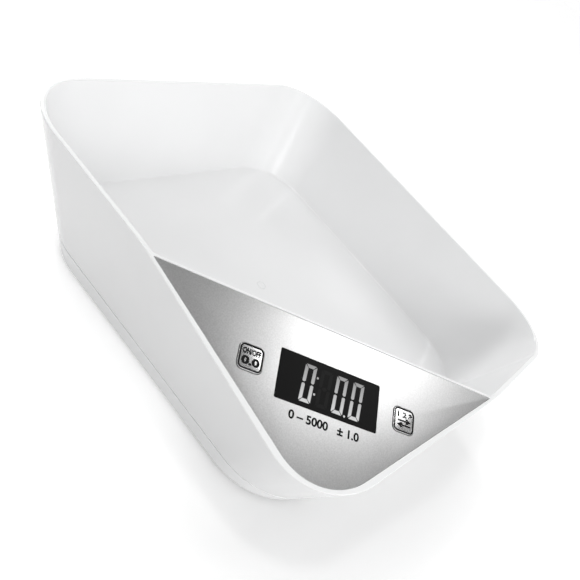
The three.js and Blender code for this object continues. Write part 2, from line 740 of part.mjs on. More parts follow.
function makeDoor() {
  const [l, w] = [doorLength / 2, doorWidth / 2];
  let body = solid(block(-l, l, bayY - w, bayY + w, footStand, doorTop));
  [-tongueOffset, tongueOffset].forEach((d) => {
    const half = tongueWidth / 2;
    const tongue = block(-recessEnd - tongueLength, -l + tongueLength, bayY + d - half, bayY + d + half,
      doorTop - tongueThickness, doorTop);
    body = body.add(solid(tongue));
  });
  const half = latchWidth / 2;
  const outer = recessEnd - doorClearance;
  const top = doorTop + latchHeight;
  const root = doorTop - doorThickness / 2;
  const leaf = block(outer - latchThickness, outer, bayY - half, bayY + half, root, top);
  const noseUnder = doorTop + latchNoseRise;
  const nose = block(outer - latchThickness, outer + latchNose + doorClearance, bayY - half, bayY + half,
    noseUnder, noseUnder + latchNoseHeight);
  body = joined(body, solid(leaf), solid(nose));
  for (let k = 0; k < gripRibs; k += 1) {
    const x = l - gripMargin - k * gripRibSpacing;
    const groove = block(x - gripRibWidth / 2, x + gripRibWidth / 2, bayY - half, bayY + half,
      below, footStand + gripRibDepth);
    body = body.subtract(solid(groove));
  }
  return body;
}

function makeFoot() {
  const points = [[0, 0], [footRadius - footChamfer, 0], [footRadius, footChamfer],
    [footRadius, footThickness], [0, footThickness]];
  return solid(turned(points.map(([r, h]) => new THREE.Vector2(r, h))));
}

// The bar is thinned over two bores joined by a slot, so that it bends without tilting
function makeLoadCell() {
  const outline = new THREE.Shape();
  const [l, h] = [cellLength / 2, cellHeight / 2];
  outline.moveTo(-l, -h);
  outline.lineTo(l, -h);
  outline.lineTo(l, h);
  outline.lineTo(-l, h);
  outline.closePath();
  const bite = Math.asin(cellSlotHeight / 2 / cellBoreRadius);
  const opening = new THREE.Path();
  opening.absarc(-cellBoreSpacing / 2, 0, cellBoreRadius, bite, Math.PI * 2 - bite);
  opening.absarc(cellBoreSpacing / 2, 0, cellBoreRadius, Math.PI + bite, Math.PI * 3 - bite);
  opening.closePath();
  outline.holes.push(opening);
  const bar = slab(outline, -cellWidth / 2, cellWidth / 2, 8).rotateX(Math.PI / 2);
  bar.translate(0, 0, (cellUnder + cellTop) / 2);
  const holes = cellScrewPlaces.flatMap((x) => [x, -x]).map((x) =>
    solid(post(x, 0, cellUnder - overcut, cellTop + overcut, cellScrewRadius + screwClearance, fineSteps)));
  return cut(solid(bar), ...holes);
}

function makeBattery() {
  const shoulder = batteryLength - nubLength;
  const endRadius = batteryRadius - batteryChamfer;
  const points = [[0, 0], [endRadius, 0], [batteryRadius, batteryChamfer],
    [batteryRadius, shoulder - batteryChamfer], [endRadius, shoulder], [nubRadius, shoulder],
    [nubRadius, batteryLength], [0, batteryLength]];
  const profile = points.map(([r, h]) => new THREE.Vector2(r, h));
  return new THREE.LatheGeometry(profile, roundSteps).rotateZ(-Math.PI / 2);
}

// A cone-shaped spring that runs along +X from its plate, as one round wire
function springGeometry() {
  const sides = springSides;
  const steps = springTurns * springStepsPerTurn;
  const reach = springLength - springWire;
  const positions = [];
  for (let i = 0; i <= steps; i += 1) {
    const f = i / steps;
    const turn = f * springTurns * Math.PI * 2;
    const radius = THREE.MathUtils.lerp(springBaseRadius, springTipRadius, f);
    for (let k = 0; k < sides; k += 1) {
      const angle = (k / sides) * Math.PI * 2;
      const r = radius + springWire * Math.cos(angle);
      positions.push(f * reach + springWire * Math.sin(angle), r * Math.cos(turn), r * Math.sin(turn));
    }
  }
  const index = [];
  for (let i = 0; i < steps; i += 1) {
    for (let k = 0; k < sides; k += 1) {
      const next = (k + 1) % sides;
      const [a, b] = [i * sides + k, i * sides + next];
      index.push(a, b + sides, b, a, a + sides, b + sides);
    }
  }
  for (let k = 1; k + 1 < sides; k += 1) {
    const end = steps * sides;
    index.push(0, k, k + 1, end, end + k + 1, end + k);
  }
  const geometry = new THREE.BufferGeometry();
  geometry.setAttribute('position', new THREE.Float32BufferAttribute(positions, 3));
  geometry.setIndex(index);
  return geometry;
}

// Contact plates stand against the two ends of the bay, 1 for the +X end and -1 for the -X end
function contactPlate(end, y0, y1) {
  const outer = end * (bayHalf - batteryClearance);
  const inner = outer - end * contactThickness;
  return solid(block(Math.min(outer, inner), Math.max(outer, inner), y0, y1, contactZ0, contactZ1));
}

function contactSpring(end, y) {
  const face = end * (bayHalf - batteryClearance - contactThickness);
  const coil = springGeometry();
  if (end > 0) {
    coil.rotateZ(Math.PI);
  }
  return solid(coil.translate(face, y, batteryZ));
}

function solderTab(y) {
  const half = tabWidth / 2;
  const lift = contactThickness / 2;
  const plateMiddle = -bayHalf + batteryClearance + contactThickness / 2;
  return solid(block(-bayHalf - bayWall - tabLength, plateMiddle, y - half, y + half,
    batteryZ - lift, batteryZ + lift));
}

function makeKey([x, y]) {
  const cap = slab(keyShape([x, y], 0), flangeTop, keyTop, 4);
  const flange = slab(keyShape([x, y], keyFlange), flangeTop - keyFlangeThickness, flangeTop, 4);
  const foot = post(x, y, keyFootUnder, flangeTop - keyFlangeThickness / 2, keyFootRadius, fineSteps);
  return joined(solid(cap), solid(flange), solid(foot));
}

function makeSwitch([x, y]) {
  const half = switchSize / 2;
  const base = boardTop + stackGap;
  const body = solid(block(x - half, x + half, y - half, y + half, base, switchTop));
  const wellFloor = plungerTop - plungerLength - keyTravel - keyClearance;
  const well = post(x, y, wellFloor, switchTop + overcut, plungerRadius + keyClearance, fineSteps);
  return body.subtract(solid(well));
}

function makeHolder() {
  const outline = roundedRectangle(holderWidth, holderHeight, holderRadius, displayX, displayY);
  const hole = roundedRectangle(holderWidth - 2 * holderWall, holderHeight - 2 * holderWall,
    holderInnerRadius, displayX, displayY);
  const frame = slab(outline, boardTop + stackGap, lcdTop, 3);
  return solid(frame).subtract(solid(slab(hole, boardTop - overcut, lcdTop + overcut, 2)));
}

// A round wire along a smooth route through a few chosen points
function wire(points, radius) {
  const section = new THREE.Shape();
  section.absarc(0, 0, radius, 0, Math.PI * 2);
  const curve = new THREE.CatmullRomCurve3(points, false, 'centripetal');
  const steps = Math.ceil(curve.getLength() / (radius * wireStep));
  const options = { steps, curveSegments: 4, extrudePath: curve, bevelEnabled: false };
  return solid(new THREE.ExtrudeGeometry(section, options));
}

// A point behind the board, and a point at a distance towards the display corner and across it
const boardPoint = (x, y, drop = 0) => {
  const point = new THREE.Vector3(x, y, boardUnder - screwClearance).applyMatrix4(deckFrame);
  return point.addScaledVector(zAxis, -drop);
};
const cornerPoint = (distance, across, z) =>
  qAxis.clone().multiplyScalar(-distance).addScaledVector(uAxis, across).setZ(z);

const root = new THREE.Group();
const deck = new THREE.Group();
deckFrame.decompose(deck.position, deck.quaternion, deck.scale);
root.add(deck);

function place(parent, name, body, material) {
  const mesh = new THREE.Mesh(geometryOf(body), material);
  mesh.name = name;
  parent.add(mesh);
  return mesh;
}

// Base and what is fixed to it
place(root, 'base_shell', makeBase(), whitePlastic);
const footBody = makeFoot();
const footNames = ['foot_front', 'foot_right', 'foot_rear', 'foot_left'];
footPlaces.forEach(([x, y], i) => {
  place(root, footNames[i], footBody, darkRubber).position.set(x, y, 0);
});
place(root, 'load_cell', makeLoadCell(), bareAluminium);

const lowerShank = footStand + counterboreDepth;
const lowerScrew = solid(turned(screwProfile(cellScrewHeadRadius, lowerHeadHeight, cellScrewRadius,
  cellUnder - lowerShank + lowerScrewDepth), fineSteps));
const upperScrew = solid(turned(screwProfile(cellScrewHeadRadius, upperHeadHeight, cellScrewRadius,
  cellHeight + upperScrewDepth), fineSteps));
cellScrewPlaces.forEach((x, i) => {
  const lower = place(root, `load_cell_base_screw_${i + 1}`, lowerScrew, zincSteel);
  lower.position.set(-x, 0, lowerShank - lowerHeadHeight);
});

const [outerRow, innerRow] = batteryRows;
const batteryBody = solid(makeBattery());
const batteryStart = -bayHalf + 2 * batteryClearance + contactThickness + springLength;
place(root, 'battery_1', batteryBody, batteryShell).position.set(batteryStart, outerRow, batteryZ);
const secondBattery = place(root, 'battery_2', batteryBody, batteryShell);
secondBattery.rotation.z = Math.PI;
secondBattery.position.set(-batteryStart, innerRow, batteryZ);

const contactHalf = contactWidth / 2;
const linkPlate = contactPlate(1, innerRow - contactHalf, outerRow + contactHalf);
place(root, 'battery_link_contact', linkPlate.add(contactSpring(1, innerRow)), springSteel);
const negativePlate = contactPlate(-1, outerRow - contactHalf, outerRow + contactHalf);
place(root, 'battery_negative_contact',
  joined(negativePlate, contactSpring(-1, outerRow), solderTab(outerRow)), springSteel);
const positivePlate = contactPlate(-1, innerRow - contactHalf, innerRow + contactHalf);
place(root, 'battery_positive_contact', positivePlate.add(solderTab(innerRow)), springSteel);
place(root, 'battery_door', makeDoor(), whitePlastic);

// Bowl and what is fixed to it
place(root, 'bowl', makeBowl(), glossWhite);
cellScrewPlaces.forEach((x, i) => {
  const upper = place(root, `load_cell_bowl_screw_${i + 1}`, upperScrew, zincSteel);
  upper.position.set(x, 0, cellUnder - upperHeadHeight);
});

const fascia = cut(
  solid(slab(fasciaShape(panelClearance), fasciaUnder, fasciaTop)),
  solid(slab(windowShape(panelClearance), fasciaUnder - overcut, fasciaTop + overcut)),
  ...keyPlaces.map((at) =>
    solid(slab(keyShape(at, keyClearance), fasciaUnder - overcut, fasciaTop + overcut, 4))),
);
place(deck, 'fascia_panel', fascia, brushedMetal);
place(deck, 'display_window', solid(slab(windowShape(0), windowUnder, fasciaTop)), clearWindow);

const glassShape = windowShape(lcdMargin);
place(deck, 'lcd_glass', solid(slab(glassShape, lcdUnder, lcdTop, 2)), lcdGlass);
place(deck, 'lcd_holder', makeHolder(), blackPlastic);
const lightWidth = windowWidth - 2 * backlightInset;
const lightHeight = windowHeight - 2 * backlightInset;
const lightShape = roundedRectangle(lightWidth, lightHeight, windowRadius, displayX, displayY);
place(deck, 'backlight', solid(slab(lightShape, backlightUnder, backlightTop, 2)), diffuser);
const stripY = displayY - windowHeight / 2;
const strip = block(displayX - lightWidth / 2, displayX + lightWidth / 2, stripY - stripWidth / 2,
  stripY + stripWidth / 2, boardTop + stackGap, lcdUnder - stackGap);
place(deck, 'contact_strip', solid(strip), darkRubber);

const board = cut(
  solid(slab(boardShape(), boardUnder, boardTop)),
  ...boardScrewPlaces.map(([x, y]) =>
    solid(post(x, y, boardUnder - overcut, boardTop + overcut, boardScrewRadius + screwClearance,
      fineSteps))),
);
place(deck, 'circuit_board', board, boardGreen);
const chipOuter = roundedRectangle(chipSize, chipSize, chipSize / 3, displayX + chipAcross,
  displayY);
const chip = slab(chipOuter, boardUnder - stackGap - chipThickness, boardUnder - stackGap, 4);
place(deck, 'controller_chip', solid(chip), epoxyBlack);
const boardScrew = solid(turned(screwProfile(boardScrewHeadRadius, boardScrewHead, boardScrewRadius,
  boardThickness + boardScrewDepth), fineSteps));
boardScrewPlaces.forEach(([x, y], i) => {
  const screw = place(deck, `board_screw_${i + 1}`, boardScrew, zincSteel);
  screw.position.set(x, y, boardUnder - boardScrewHead - stackGap / 2);
});

['zero', 'unit'].forEach((name, i) => {
  const [x, y] = keyPlaces[i];
  place(deck, `${name}_key`, makeKey([x, y]), chromedKey);
  place(deck, `${name}_switch`, makeSwitch([x, y]), blackPlastic);
  const plunger = post(x, y, plungerTop - plungerLength, plungerTop, plungerRadius, fineSteps);
  place(deck, `${name}_switch_plunger`, solid(plunger), whitePlastic);
});

const cableY = -cellWidth / 2 - cellCableRadius - stackGap;
const cableZ = bowlFloorUnder - bowlRibHeight - cellCableRadius - stackGap;
const cellCable = wire([
  new THREE.Vector3(cellCableStart, cableY, cellTop - cellCableRadius),
  new THREE.Vector3(cellCableStart - wireBend, cableY - wireBend / 3, cableZ),
  ...cableHolds.map((share) => cornerPoint(riserFoot * share, cellCableAcross, cableZ)),
  cornerPoint(riserFoot + wireBend, cellCableAcross, cableZ),
  cornerPoint(riserFoot + 2 * wireBend, cellCableAcross, cableZ + wireBend),
  boardPoint(cellCableAcross, displayY + wireBend / 2, wireBend),
  boardPoint(cellCableAcross, displayY + wireBend / 2),
], cellCableRadius);
place(root, 'load_cell_cable', cellCable, cableSheath);

const leadStart = -bayHalf - bayWall - tabLength - screwClearance;
const batteryLeads = wire([
  new THREE.Vector3(leadStart, bayY, batteryZ),
  new THREE.Vector3(leadStart - wireBend / 2, bayY, batteryZ + wireBend / 5),
  cornerPoint(riserFoot + wireBend, batteryLeadAcross, batteryZ + wireBend / 2),
  cornerPoint(riserFoot + 2 * wireBend, batteryLeadAcross, batteryZ + 1.5 * wireBend),
  boardPoint(batteryLeadAcross, displayY + wireBend / 2, wireBend),
  boardPoint(batteryLeadAcross, displayY + wireBend / 2),
], batteryLeadRadius);
place(root, 'battery_leads', batteryLeads, cableSheath);

export default root;
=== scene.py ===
"""Looks of the digital kitchen scale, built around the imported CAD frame.

Sizes are in millimetres and repeat the CAD part's named values. Meshes are made in metres.
The display corner is at -X, -Y. The "diagonal" q runs from that corner through the centre.
"""

import json
import math

import bpy
import bmesh
from mathutils import Matrix, Vector
from mathutils.geometry import delaunay_2d_cdt


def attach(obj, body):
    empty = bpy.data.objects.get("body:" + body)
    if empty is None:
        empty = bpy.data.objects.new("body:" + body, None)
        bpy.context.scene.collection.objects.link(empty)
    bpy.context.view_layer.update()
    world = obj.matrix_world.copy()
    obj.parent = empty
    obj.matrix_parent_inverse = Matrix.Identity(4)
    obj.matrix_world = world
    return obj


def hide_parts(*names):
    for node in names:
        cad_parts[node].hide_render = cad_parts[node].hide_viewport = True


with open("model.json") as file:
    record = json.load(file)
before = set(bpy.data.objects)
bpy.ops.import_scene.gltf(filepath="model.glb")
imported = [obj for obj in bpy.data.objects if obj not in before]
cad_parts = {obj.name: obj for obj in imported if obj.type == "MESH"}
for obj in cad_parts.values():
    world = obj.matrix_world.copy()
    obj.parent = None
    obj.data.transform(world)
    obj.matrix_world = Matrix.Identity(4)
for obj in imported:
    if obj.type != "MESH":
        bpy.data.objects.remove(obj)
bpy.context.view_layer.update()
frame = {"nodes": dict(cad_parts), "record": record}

MM = 0.001

# Whole object
FOOT_STAND = 1.8
BASE_HALF = 93.0
FLARE = math.tan(math.radians(19.28))
RIM_TOP = 72.5
CORNER_RADIUS = 36.2
WALL = 2.4

# Bowl
FLOOR_TOP = 20.35
FLOOR_UNDER = 18.15
FLOOR_FILLET = 1.5
RISER_FILLET = 3.0
RISER_THICKNESS = 2.2
GATE = (-3.9, 9.1)
GATE_RADIUS = 2.8
GATE_RING_WIDTH = 0.5
GATE_RING_DEPTH = 0.25
SKIRT_BOTTOM = 13.3
SKIRT_EDGE_ROUND = 0.2
OUTER_ROUND = 0.55
INNER_ROUND = 0.35
POCKET_ROUND = 0.15

# Deck
BEND = 70.7
BEND_SOFTNESS = 3.5
DECK_ANGLE = math.radians(19.88)
SLOPE = math.tan(DECK_ANGLE)
RISER_SETBACK = 1.5
RISER = BEND + RISER_SETBACK
DRAFT = math.tan(math.radians(12))
DECK_EDGE_BORDER = 1.1
FASCIA_CORNER_RADIUS = 31.8
FASCIA_TIP_RADIUS = 0.4
FASCIA_TIP_BORDER = 1.63
FASCIA_FRONT_BORDER = 3.4
FASCIA_FRONT_DOWN = 62.0
FASCIA_TOP = -0.5
FASCIA_UNDER = -1.3
FASCIA_CLEARANCE = 0.06
FASCIA_EDGE_ROUND = 0.08
POCKET_FLOOR = -1.6
DECK_UNDER = -3.8
PANEL_CLEARANCE = 0.25
SEAT_DROP = 0.3

# Base
BASE_WALL_TOP = 12.8
BASE_FLOOR_TOP = 4.0
BASE_EDGE_RADIUS = 2.0
LIP_INSET = 2.9
LIP_THICKNESS = 1.2
LIP_TOP = 15.45
COLLAR_FOOT = 8.95

# Display and keys, in the deck's own frame
DISPLAY_X = -1.2
DISPLAY_Y = -30.4
WINDOW_X = -1.8
WINDOW_WIDTH = 51.2
WINDOW_HEIGHT = 22.2
WINDOW_RADIUS = 0.6
WINDOW_UNDER = -2.0
WINDOW_LEDGE = 1.8
WINDOW_EDGE_ROUND = 0.1
KEY_SIZE = 11.4
KEY_RADIUS = 2.4
KEY_LEAST_RADIUS = 0.3
KEY_SPREAD = 39.3
ZERO_KEY_LIFT = 1.0
UNIT_KEY_DROP = 0.7
KEY_TOP = 0.0
KEY_FLANGE = 1.4
KEY_FLANGE_TOP = -4.1
KEY_FLANGE_THICKNESS = 1.0
KEY_FOOT_RADIUS = 2.0
KEY_FOOT_UNDER = -5.9
KEY_CLEARANCE = 0.3
KEY_PLACES = [
    (DISPLAY_X - KEY_SPREAD, DISPLAY_Y + ZERO_KEY_LIFT),
    (DISPLAY_X + KEY_SPREAD, DISPLAY_Y - UNIT_KEY_DROP),
]

# How far a cutting body runs past what it cuts
OVERCUT = 1.0

# Points that are closer than this count as one
TINY = 1e-7

# Smoothness
LARGE_STEPS = 28
SMALL_STEPS = 8
ROUND_STEPS = 48
WINDOW_STEPS = 5
DOT_STEPS = 20
PLATE_EDGE_STEPS = 3
RIM_STEPS = 4
FLOOR_FILLET_STEPS = 9
KEY_EDGE_STEPS = 5
BASE_EDGE_STEPS = 7
FOOT_EDGE_STEPS = 5

# The least angle between two faces that stays a sharp edge, in degrees
SHELL_EDGE = 32
FINE_EDGE = 40
DOOR_EDGE = 50

Q_AXIS = Vector((1, 1, 0)).normalized()
U_AXIS = Vector((1, -1, 0)).normalized()
Z_AXIS = Vector((0, 0, 1))
SLOPE_AXIS = (Q_AXIS + Z_AXIS * SLOPE).normalized()
DECK_NORMAL = U_AXIS.cross(SLOPE_AXIS)
DECK_ORIGIN = Q_AXIS * -BEND + Z_AXIS * RIM_TOP


def deck_point(x, y, d):
    return DECK_ORIGIN + U_AXIS * x + SLOPE_AXIS * y + DECK_NORMAL * d


def unit_toward(azimuth, elevation):
    """A unit vector at an azimuth and elevation in degrees."""
    turn, rise = math.radians(azimuth), math.radians(elevation)
    return Vector((math.cos(turn) * math.cos(rise), math.sin(turn) * math.cos(rise), math.sin(rise)))


# Camera, fitted to the photograph

CAMERA_AZIMUTH = 197.445
CAMERA_ELEVATION = 33.461
CAMERA_ROLL = math.radians(39.807)
CAMERA_DISTANCE = 406.21
CAMERA_TARGET = Vector((14.427, 0.187, 20.4))
CAMERA_LENS = 43.80
SENSOR_WIDTH = 36

back = unit_toward(CAMERA_AZIMUTH, CAMERA_ELEVATION)
level_right = (-back).cross(Z_AXIS).normalized()
level_up = level_right.cross(-back)
right = level_right * math.cos(CAMERA_ROLL) + level_up * math.sin(CAMERA_ROLL)
up = level_up * math.cos(CAMERA_ROLL) - level_right * math.sin(CAMERA_ROLL)
camera_data = bpy.data.cameras.new("camera")
camera_data.lens = CAMERA_LENS
camera_data.sensor_width = SENSOR_WIDTH
camera_data.sensor_fit = "HORIZONTAL"
camera_data.clip_start = 0.01
camera_data.clip_end = 20
camera = bpy.data.objects.new("camera", camera_data)
bpy.context.scene.collection.objects.link(camera)
place = Matrix((right, up, back)).transposed().to_4x4()
place.translation = (CAMERA_TARGET + back * CAMERA_DISTANCE) * MM
camera.matrix_world = place
bpy.context.scene.camera = camera


# Outlines


def rounded_loop(corners, edges):
    """Convex outline, counterclockwise. A corner is (x, y, radius, steps), and edges[i] lists the
    fractions of extra points on the straight side that follows corner i."""
    arcs = []
    for i, (x, y, radius, steps) in enumerate(corners):
        before = Vector(corners[i - 1][:2])
        after = Vector(corners[(i + 1) % len(corners)][:2])
        corner = Vector((x, y))
        to_before = (before - corner).normalized()
        to_after = (after - corner).normalized()
        half = math.acos(max(-1, min(1, to_before.dot(to_after)))) / 2
        inward = (to_before + to_after).normalized()
        centre = corner + inward * (radius / math.sin(half))
        sweep = math.pi - 2 * half
        middle = math.atan2(-inward.y, -inward.x)
        angles = [middle - sweep / 2 + sweep * k / steps for k in range(steps + 1)]
        arcs.append([centre + Vector((math.cos(a), math.sin(a))) * radius for a in angles])
    loop = []
    for i, arc in enumerate(arcs):
        loop.extend(arc)
        start = arc[-1]
        end = arcs[(i + 1) % len(arcs)][0]
        loop.extend(start.lerp(end, f) for f in edges[i])
    return loop


def even(start, end, count):
    return [start + (end - start) * (k + 1) / (count + 1) for k in range(count)]


def outer_half(z):
    return BASE_HALF + FLARE * (z - FOOT_STAND)


# The bend crosses the two sides next to the display corner at about this fraction
SIDE = even(0, 1, 36)
BENT_SIDE = even(0, 0.32, 10) + even(0.32, 0.46, 26) + even(0.46, 1, 16)
BENT_SIDE_BACK = [1 - f for f in reversed(BENT_SIDE)]


def square_loop(z, inset=0.0):
    half = outer_half(z) - inset
    arc = (CORNER_RADIUS - inset, LARGE_STEPS)
    corners = [(half, -half, *arc), (half, half, *arc), (-half, half, *arc), (-half, -half, *arc)]
    return rounded_loop(corners, [SIDE, SIDE, BENT_SIDE, BENT_SIDE_BACK])


def fillet_lean(height, lean):
    """How far a leaning wall stands back from its foot line, floor fillet included."""
    angle = math.atan(lean)
    if height >= FLOOR_FILLET * (1 - math.sin(angle)):
        return height * lean
    centre = FLOOR_FILLET * (lean - 1 / math.cos(angle))
    return centre + math.sqrt(max(FLOOR_FILLET ** 2 - (height - FLOOR_FILLET) ** 2, 0))


NEAR_RISER = even(0, 0.14, 16) + even(0.14, 1, 20)
NEAR_RISER_BACK = [1 - f for f in reversed(NEAR_RISER)]
RISER_FOOT = RISER - (RIM_TOP - FLOOR_TOP) * DRAFT


def bowl_loop(z, grow=0.0):
    """The hollow of the bowl at a height: a square with its front corner cut off by the riser."""
    height = z - FLOOR_TOP
    half = outer_half(FLOOR_TOP) - WALL + fillet_lean(height, FLARE) + grow
    riser = (RISER_FOOT + fillet_lean(height, DRAFT) + grow) * math.sqrt(2)
    large = (CORNER_RADIUS - WALL + grow, LARGE_STEPS)
    small = (RISER_FILLET + grow, SMALL_STEPS)
    corners = [
        (half - riser, -half, *small),
        (half, -half, *large),
        (half, half, *large),
        (-half, half, *large),
        (-half, half - riser, *small),
    ]
    return rounded_loop(corners, [NEAR_RISER, SIDE, SIDE, NEAR_RISER_BACK, even(0, 1, 40)])


def corner_loop(z):
    """The space under the deck at a height, inside the walls and the riser."""
    half = outer_half(z) - WALL
    back_face = RISER - (RIM_TOP - z) * DRAFT + RISER_THICKNESS / math.cos(math.atan(DRAFT))
    reach = half - back_face * math.sqrt(2)
    small = (RISER_FILLET, SMALL_STEPS)
    corners = [
        (reach, -half, *small),
        (-half, reach, *small),
        (-half, -half, CORNER_RADIUS - WALL, LARGE_STEPS),
    ]
    return rounded_loop(corners, [[], [], []])


def deck_half_width(y, inset):
    q = y * math.cos(DECK_ANGLE)
    z = RIM_TOP + y * math.sin(DECK_ANGLE)
    return (outer_half(z) - inset) * math.sqrt(2) + q - BEND


def fascia_loop(clearance, dense=False):
    """The fascia's outline in the deck's frame, drawn in by a clearance."""
    edge = -(RISER_SETBACK + DECK_EDGE_BORDER) / math.cos(DECK_ANGLE)
    edge_width = deck_half_width(edge, FASCIA_TIP_BORDER)
    front_width = deck_half_width(-FASCIA_FRONT_DOWN, FASCIA_FRONT_BORDER)
    narrowing = (edge_width - front_width) / (edge + FASCIA_FRONT_DOWN)
    top = edge - clearance
    width = edge_width - clearance * (narrowing + math.hypot(1, narrowing))
    small = (FASCIA_TIP_RADIUS, SMALL_STEPS)
    corners = [
        (width, top, *small),
        (-width, top, *small),
        (0, top - width / narrowing, FASCIA_CORNER_RADIUS - clearance, LARGE_STEPS),
    ]
    top_side = even(0, 1, 60) if dense else []
    side = even(0, 1, 30) if dense else []
    return rounded_loop(corners, [top_side, side, side])


def rectangle_loop(width, height, radius, x, y, steps=SMALL_STEPS, side=()):
    w, h = width / 2, height / 2
    arc = (radius, steps)
    corners = [(x + w, y - h, *arc), (x + w, y + h, *arc), (x - w, y + h, *arc), (x - w, y - h, *arc)]
    return rounded_loop(corners, [side] * 4)


def key_loop(at, grow, side=()):
    size = KEY_SIZE + 2 * grow
    return rectangle_loop(size, size, max(KEY_RADIUS + grow, KEY_LEAST_RADIUS), *at, side=side)


def window_loop(grow):
    radius = max(WINDOW_RADIUS + grow, WINDOW_RADIUS / 2)
    size = (WINDOW_WIDTH + 2 * grow, WINDOW_HEIGHT + 2 * grow)
    return rectangle_loop(*size, radius, WINDOW_X, DISPLAY_Y, WINDOW_STEPS)


def circle_loop(x, y, radius, steps=ROUND_STEPS):
    turns = [2 * math.pi * k / steps for k in range(steps)]
    return [Vector((x + radius * math.cos(a), y + radius * math.sin(a))) for a in turns]


# Mesh making


def is_inside(point, loop):
    inside = False
    for a, b in zip(loop, loop[1:] + loop[:1]):
        if (a.y > point.y) != (b.y > point.y):
            crossing = a.x + (point.y - a.y) * (b.x - a.x) / (b.y - a.y)
            inside = inside != (point.x < crossing)
    return inside


class Shape:
    """Vertices and faces that are built up from loops of matching points."""

    def __init__(self, place=None):
        self.points = []
        self.faces = []
        self.place = place or (lambda x, y, z: Vector((x, y, z)))

    def loop(self, outline, height):
        """Adds a loop. Height is a number, or a list with one number for each point."""
        start = len(self.points)
        for i, p in enumerate(outline):
            z = height[i] if isinstance(height, list) else height
            self.points.append(self.place(p[0], p[1], z))
        return list(range(start, len(self.points)))

    def bridge(self, low, high):
        count = len(low)
        for k in range(count):
            n = (k + 1) % count
            self.faces.append((low[k], low[n], high[n], high[k]))

    def stack(self, loops):
        for low, high in zip(loops, loops[1:]):
            self.bridge(low, high)

    def face(self, loop):
        self.faces.append(tuple(loop))

    def fill(self, outline, outer, holes=()):
        """Triangulates between an outer loop and holes. outline maps a vertex to a flat point."""
        used = list(outer) + [v for hole in holes for v in hole]
        flat = [outline(self.points[v]) for v in used]
        edges = []
        at = 0
        for loop in [outer, *holes]:
            count = len(loop)
            edges.extend((at + k, at + (k + 1) % count) for k in range(count))
            at += count
        out = delaunay_2d_cdt(flat, edges, [], 1, TINY)
        names = [ids[0] for ids in out[3]]
        gaps = [[outline(self.points[v]) for v in hole] for hole in holes]
        for triangle in out[2]:
            middle = sum((flat[names[v]] for v in triangle), Vector((0, 0))) / 3
            if not any(is_inside(middle, gap) for gap in gaps):
                self.faces.append(tuple(used[names[v]] for v in triangle))

    def build(self, name):
        mesh = bpy.data.meshes.new(name)
        mesh.from_pydata([p * MM for p in self.points], [], self.faces)
        work = bmesh.new()
        work.from_mesh(mesh)
        bmesh.ops.remove_doubles(work, verts=work.verts, dist=TINY)
        bmesh.ops.recalc_face_normals(work, faces=work.faces)
        work.to_mesh(mesh)
        work.free()
        piece = bpy.data.objects.new(name, mesh)
        bpy.context.scene.collection.objects.link(piece)
        return piece


def in_plan(p):
    return Vector((p.x, p.y))


def in_deck(p):
    away = p - DECK_ORIGIN
    return Vector((away.dot(U_AXIS), away.dot(SLOPE_AXIS)))


def combine(piece, others, operation):
    """Exact boolean of a piece with several others, which are used up."""
    group = bpy.data.collections.new("operands")
    bpy.context.scene.collection.children.link(group)
    for other in others:
        bpy.context.scene.collection.objects.unlink(other)
        group.objects.link(other)
    change = piece.modifiers.new("combine", "BOOLEAN")
    change.operand_type = "COLLECTION"
    change.collection = group
    change.operation = operation
    change.solver = "EXACT"
    bpy.context.view_layer.update()
    graph = bpy.context.evaluated_depsgraph_get()
    mesh = bpy.data.meshes.new_from_object(piece.evaluated_get(graph))
    old = piece.data
    piece.modifiers.clear()
    piece.data = mesh
    bpy.data.meshes.remove(old)
    for other in others:
        bpy.data.objects.remove(other)
    bpy.data.collections.remove(group)
    return piece


def smooth(piece, degrees):
    mesh = piece.data
    mesh.shade_smooth()
    mesh.set_sharp_from_angle(angle=math.radians(degrees))
    weighted = piece.modifiers.new("weighted normals", "WEIGHTED_NORMAL")
    weighted.keep_sharp = True
    weighted.mode = "FACE_AREA_WITH_ANGLE"
    return piece


def block(x0, x1, y0, y1, z0, z1):
    shape = Shape()
    loop = [(x0, y0), (x1, y0), (x1, y1), (x0, y1)]
    low = shape.loop(loop, z0)
    high = shape.loop(loop, z1)
    shape.bridge(low, high)
    shape.face(reversed(low))
    shape.face(high)
    return shape.build("block")


def prism(outline, z0, z1, place=None):
    shape = Shape(place)
    low = shape.loop(outline, z0)
    high = shape.loop(outline, z1)
    shape.bridge(low, high)
    shape.face(reversed(low))
    shape.face(high)
    return shape.build("prism")


def post(x, y, z0, z1, radius):
    return prism(circle_loop(x, y, radius), z0, z1)


def turned(name, profile, place):
    """A body turned from (radius, height) points, whose first and last radius are closed."""
    shape = Shape(place)
    loops = [shape.loop(circle_loop(0, 0, r), h) for r, h in profile]
    shape.stack(loops)
    shape.face(reversed(loops[0]))
    shape.face(loops[-1])
    return shape.build(name)


def edge_arc(radius, steps):
    """(inset, drop) pairs of a rounded edge, from the flat face to the wall."""
    angles = [math.pi / 2 * k / steps for k in range(steps + 1)]
    return [(radius * (1 - math.sin(a)), radius * (1 - math.cos(a))) for a in angles]


def plate(name, outer, holes, under, top, edge, place, flat):
    """A flat body whose outlines are functions of how much they grow, with rounded upper edges."""
    shape = Shape(place)
    arc = edge_arc(edge, PLATE_EDGE_STEPS)
    outer_loops = [shape.loop(outer(-inset), top - drop) for inset, drop in arc]
    outer_loops.append(shape.loop(outer(0), under))
    shape.stack(outer_loops)
    hole_tops = []
    hole_feet = []
    for hole in holes:
        loops = [shape.loop(hole(inset), top - drop) for inset, drop in arc]
        loops.append(shape.loop(hole(0), under))
        shape.stack(loops)
        hole_tops.append(loops[0])
        hole_feet.append(loops[-1])
    shape.fill(flat, outer_loops[0], hole_tops)
    shape.fill(flat, outer_loops[-1], hole_feet)
    return smooth(shape.build(name), FINE_EDGE)


# Bowl

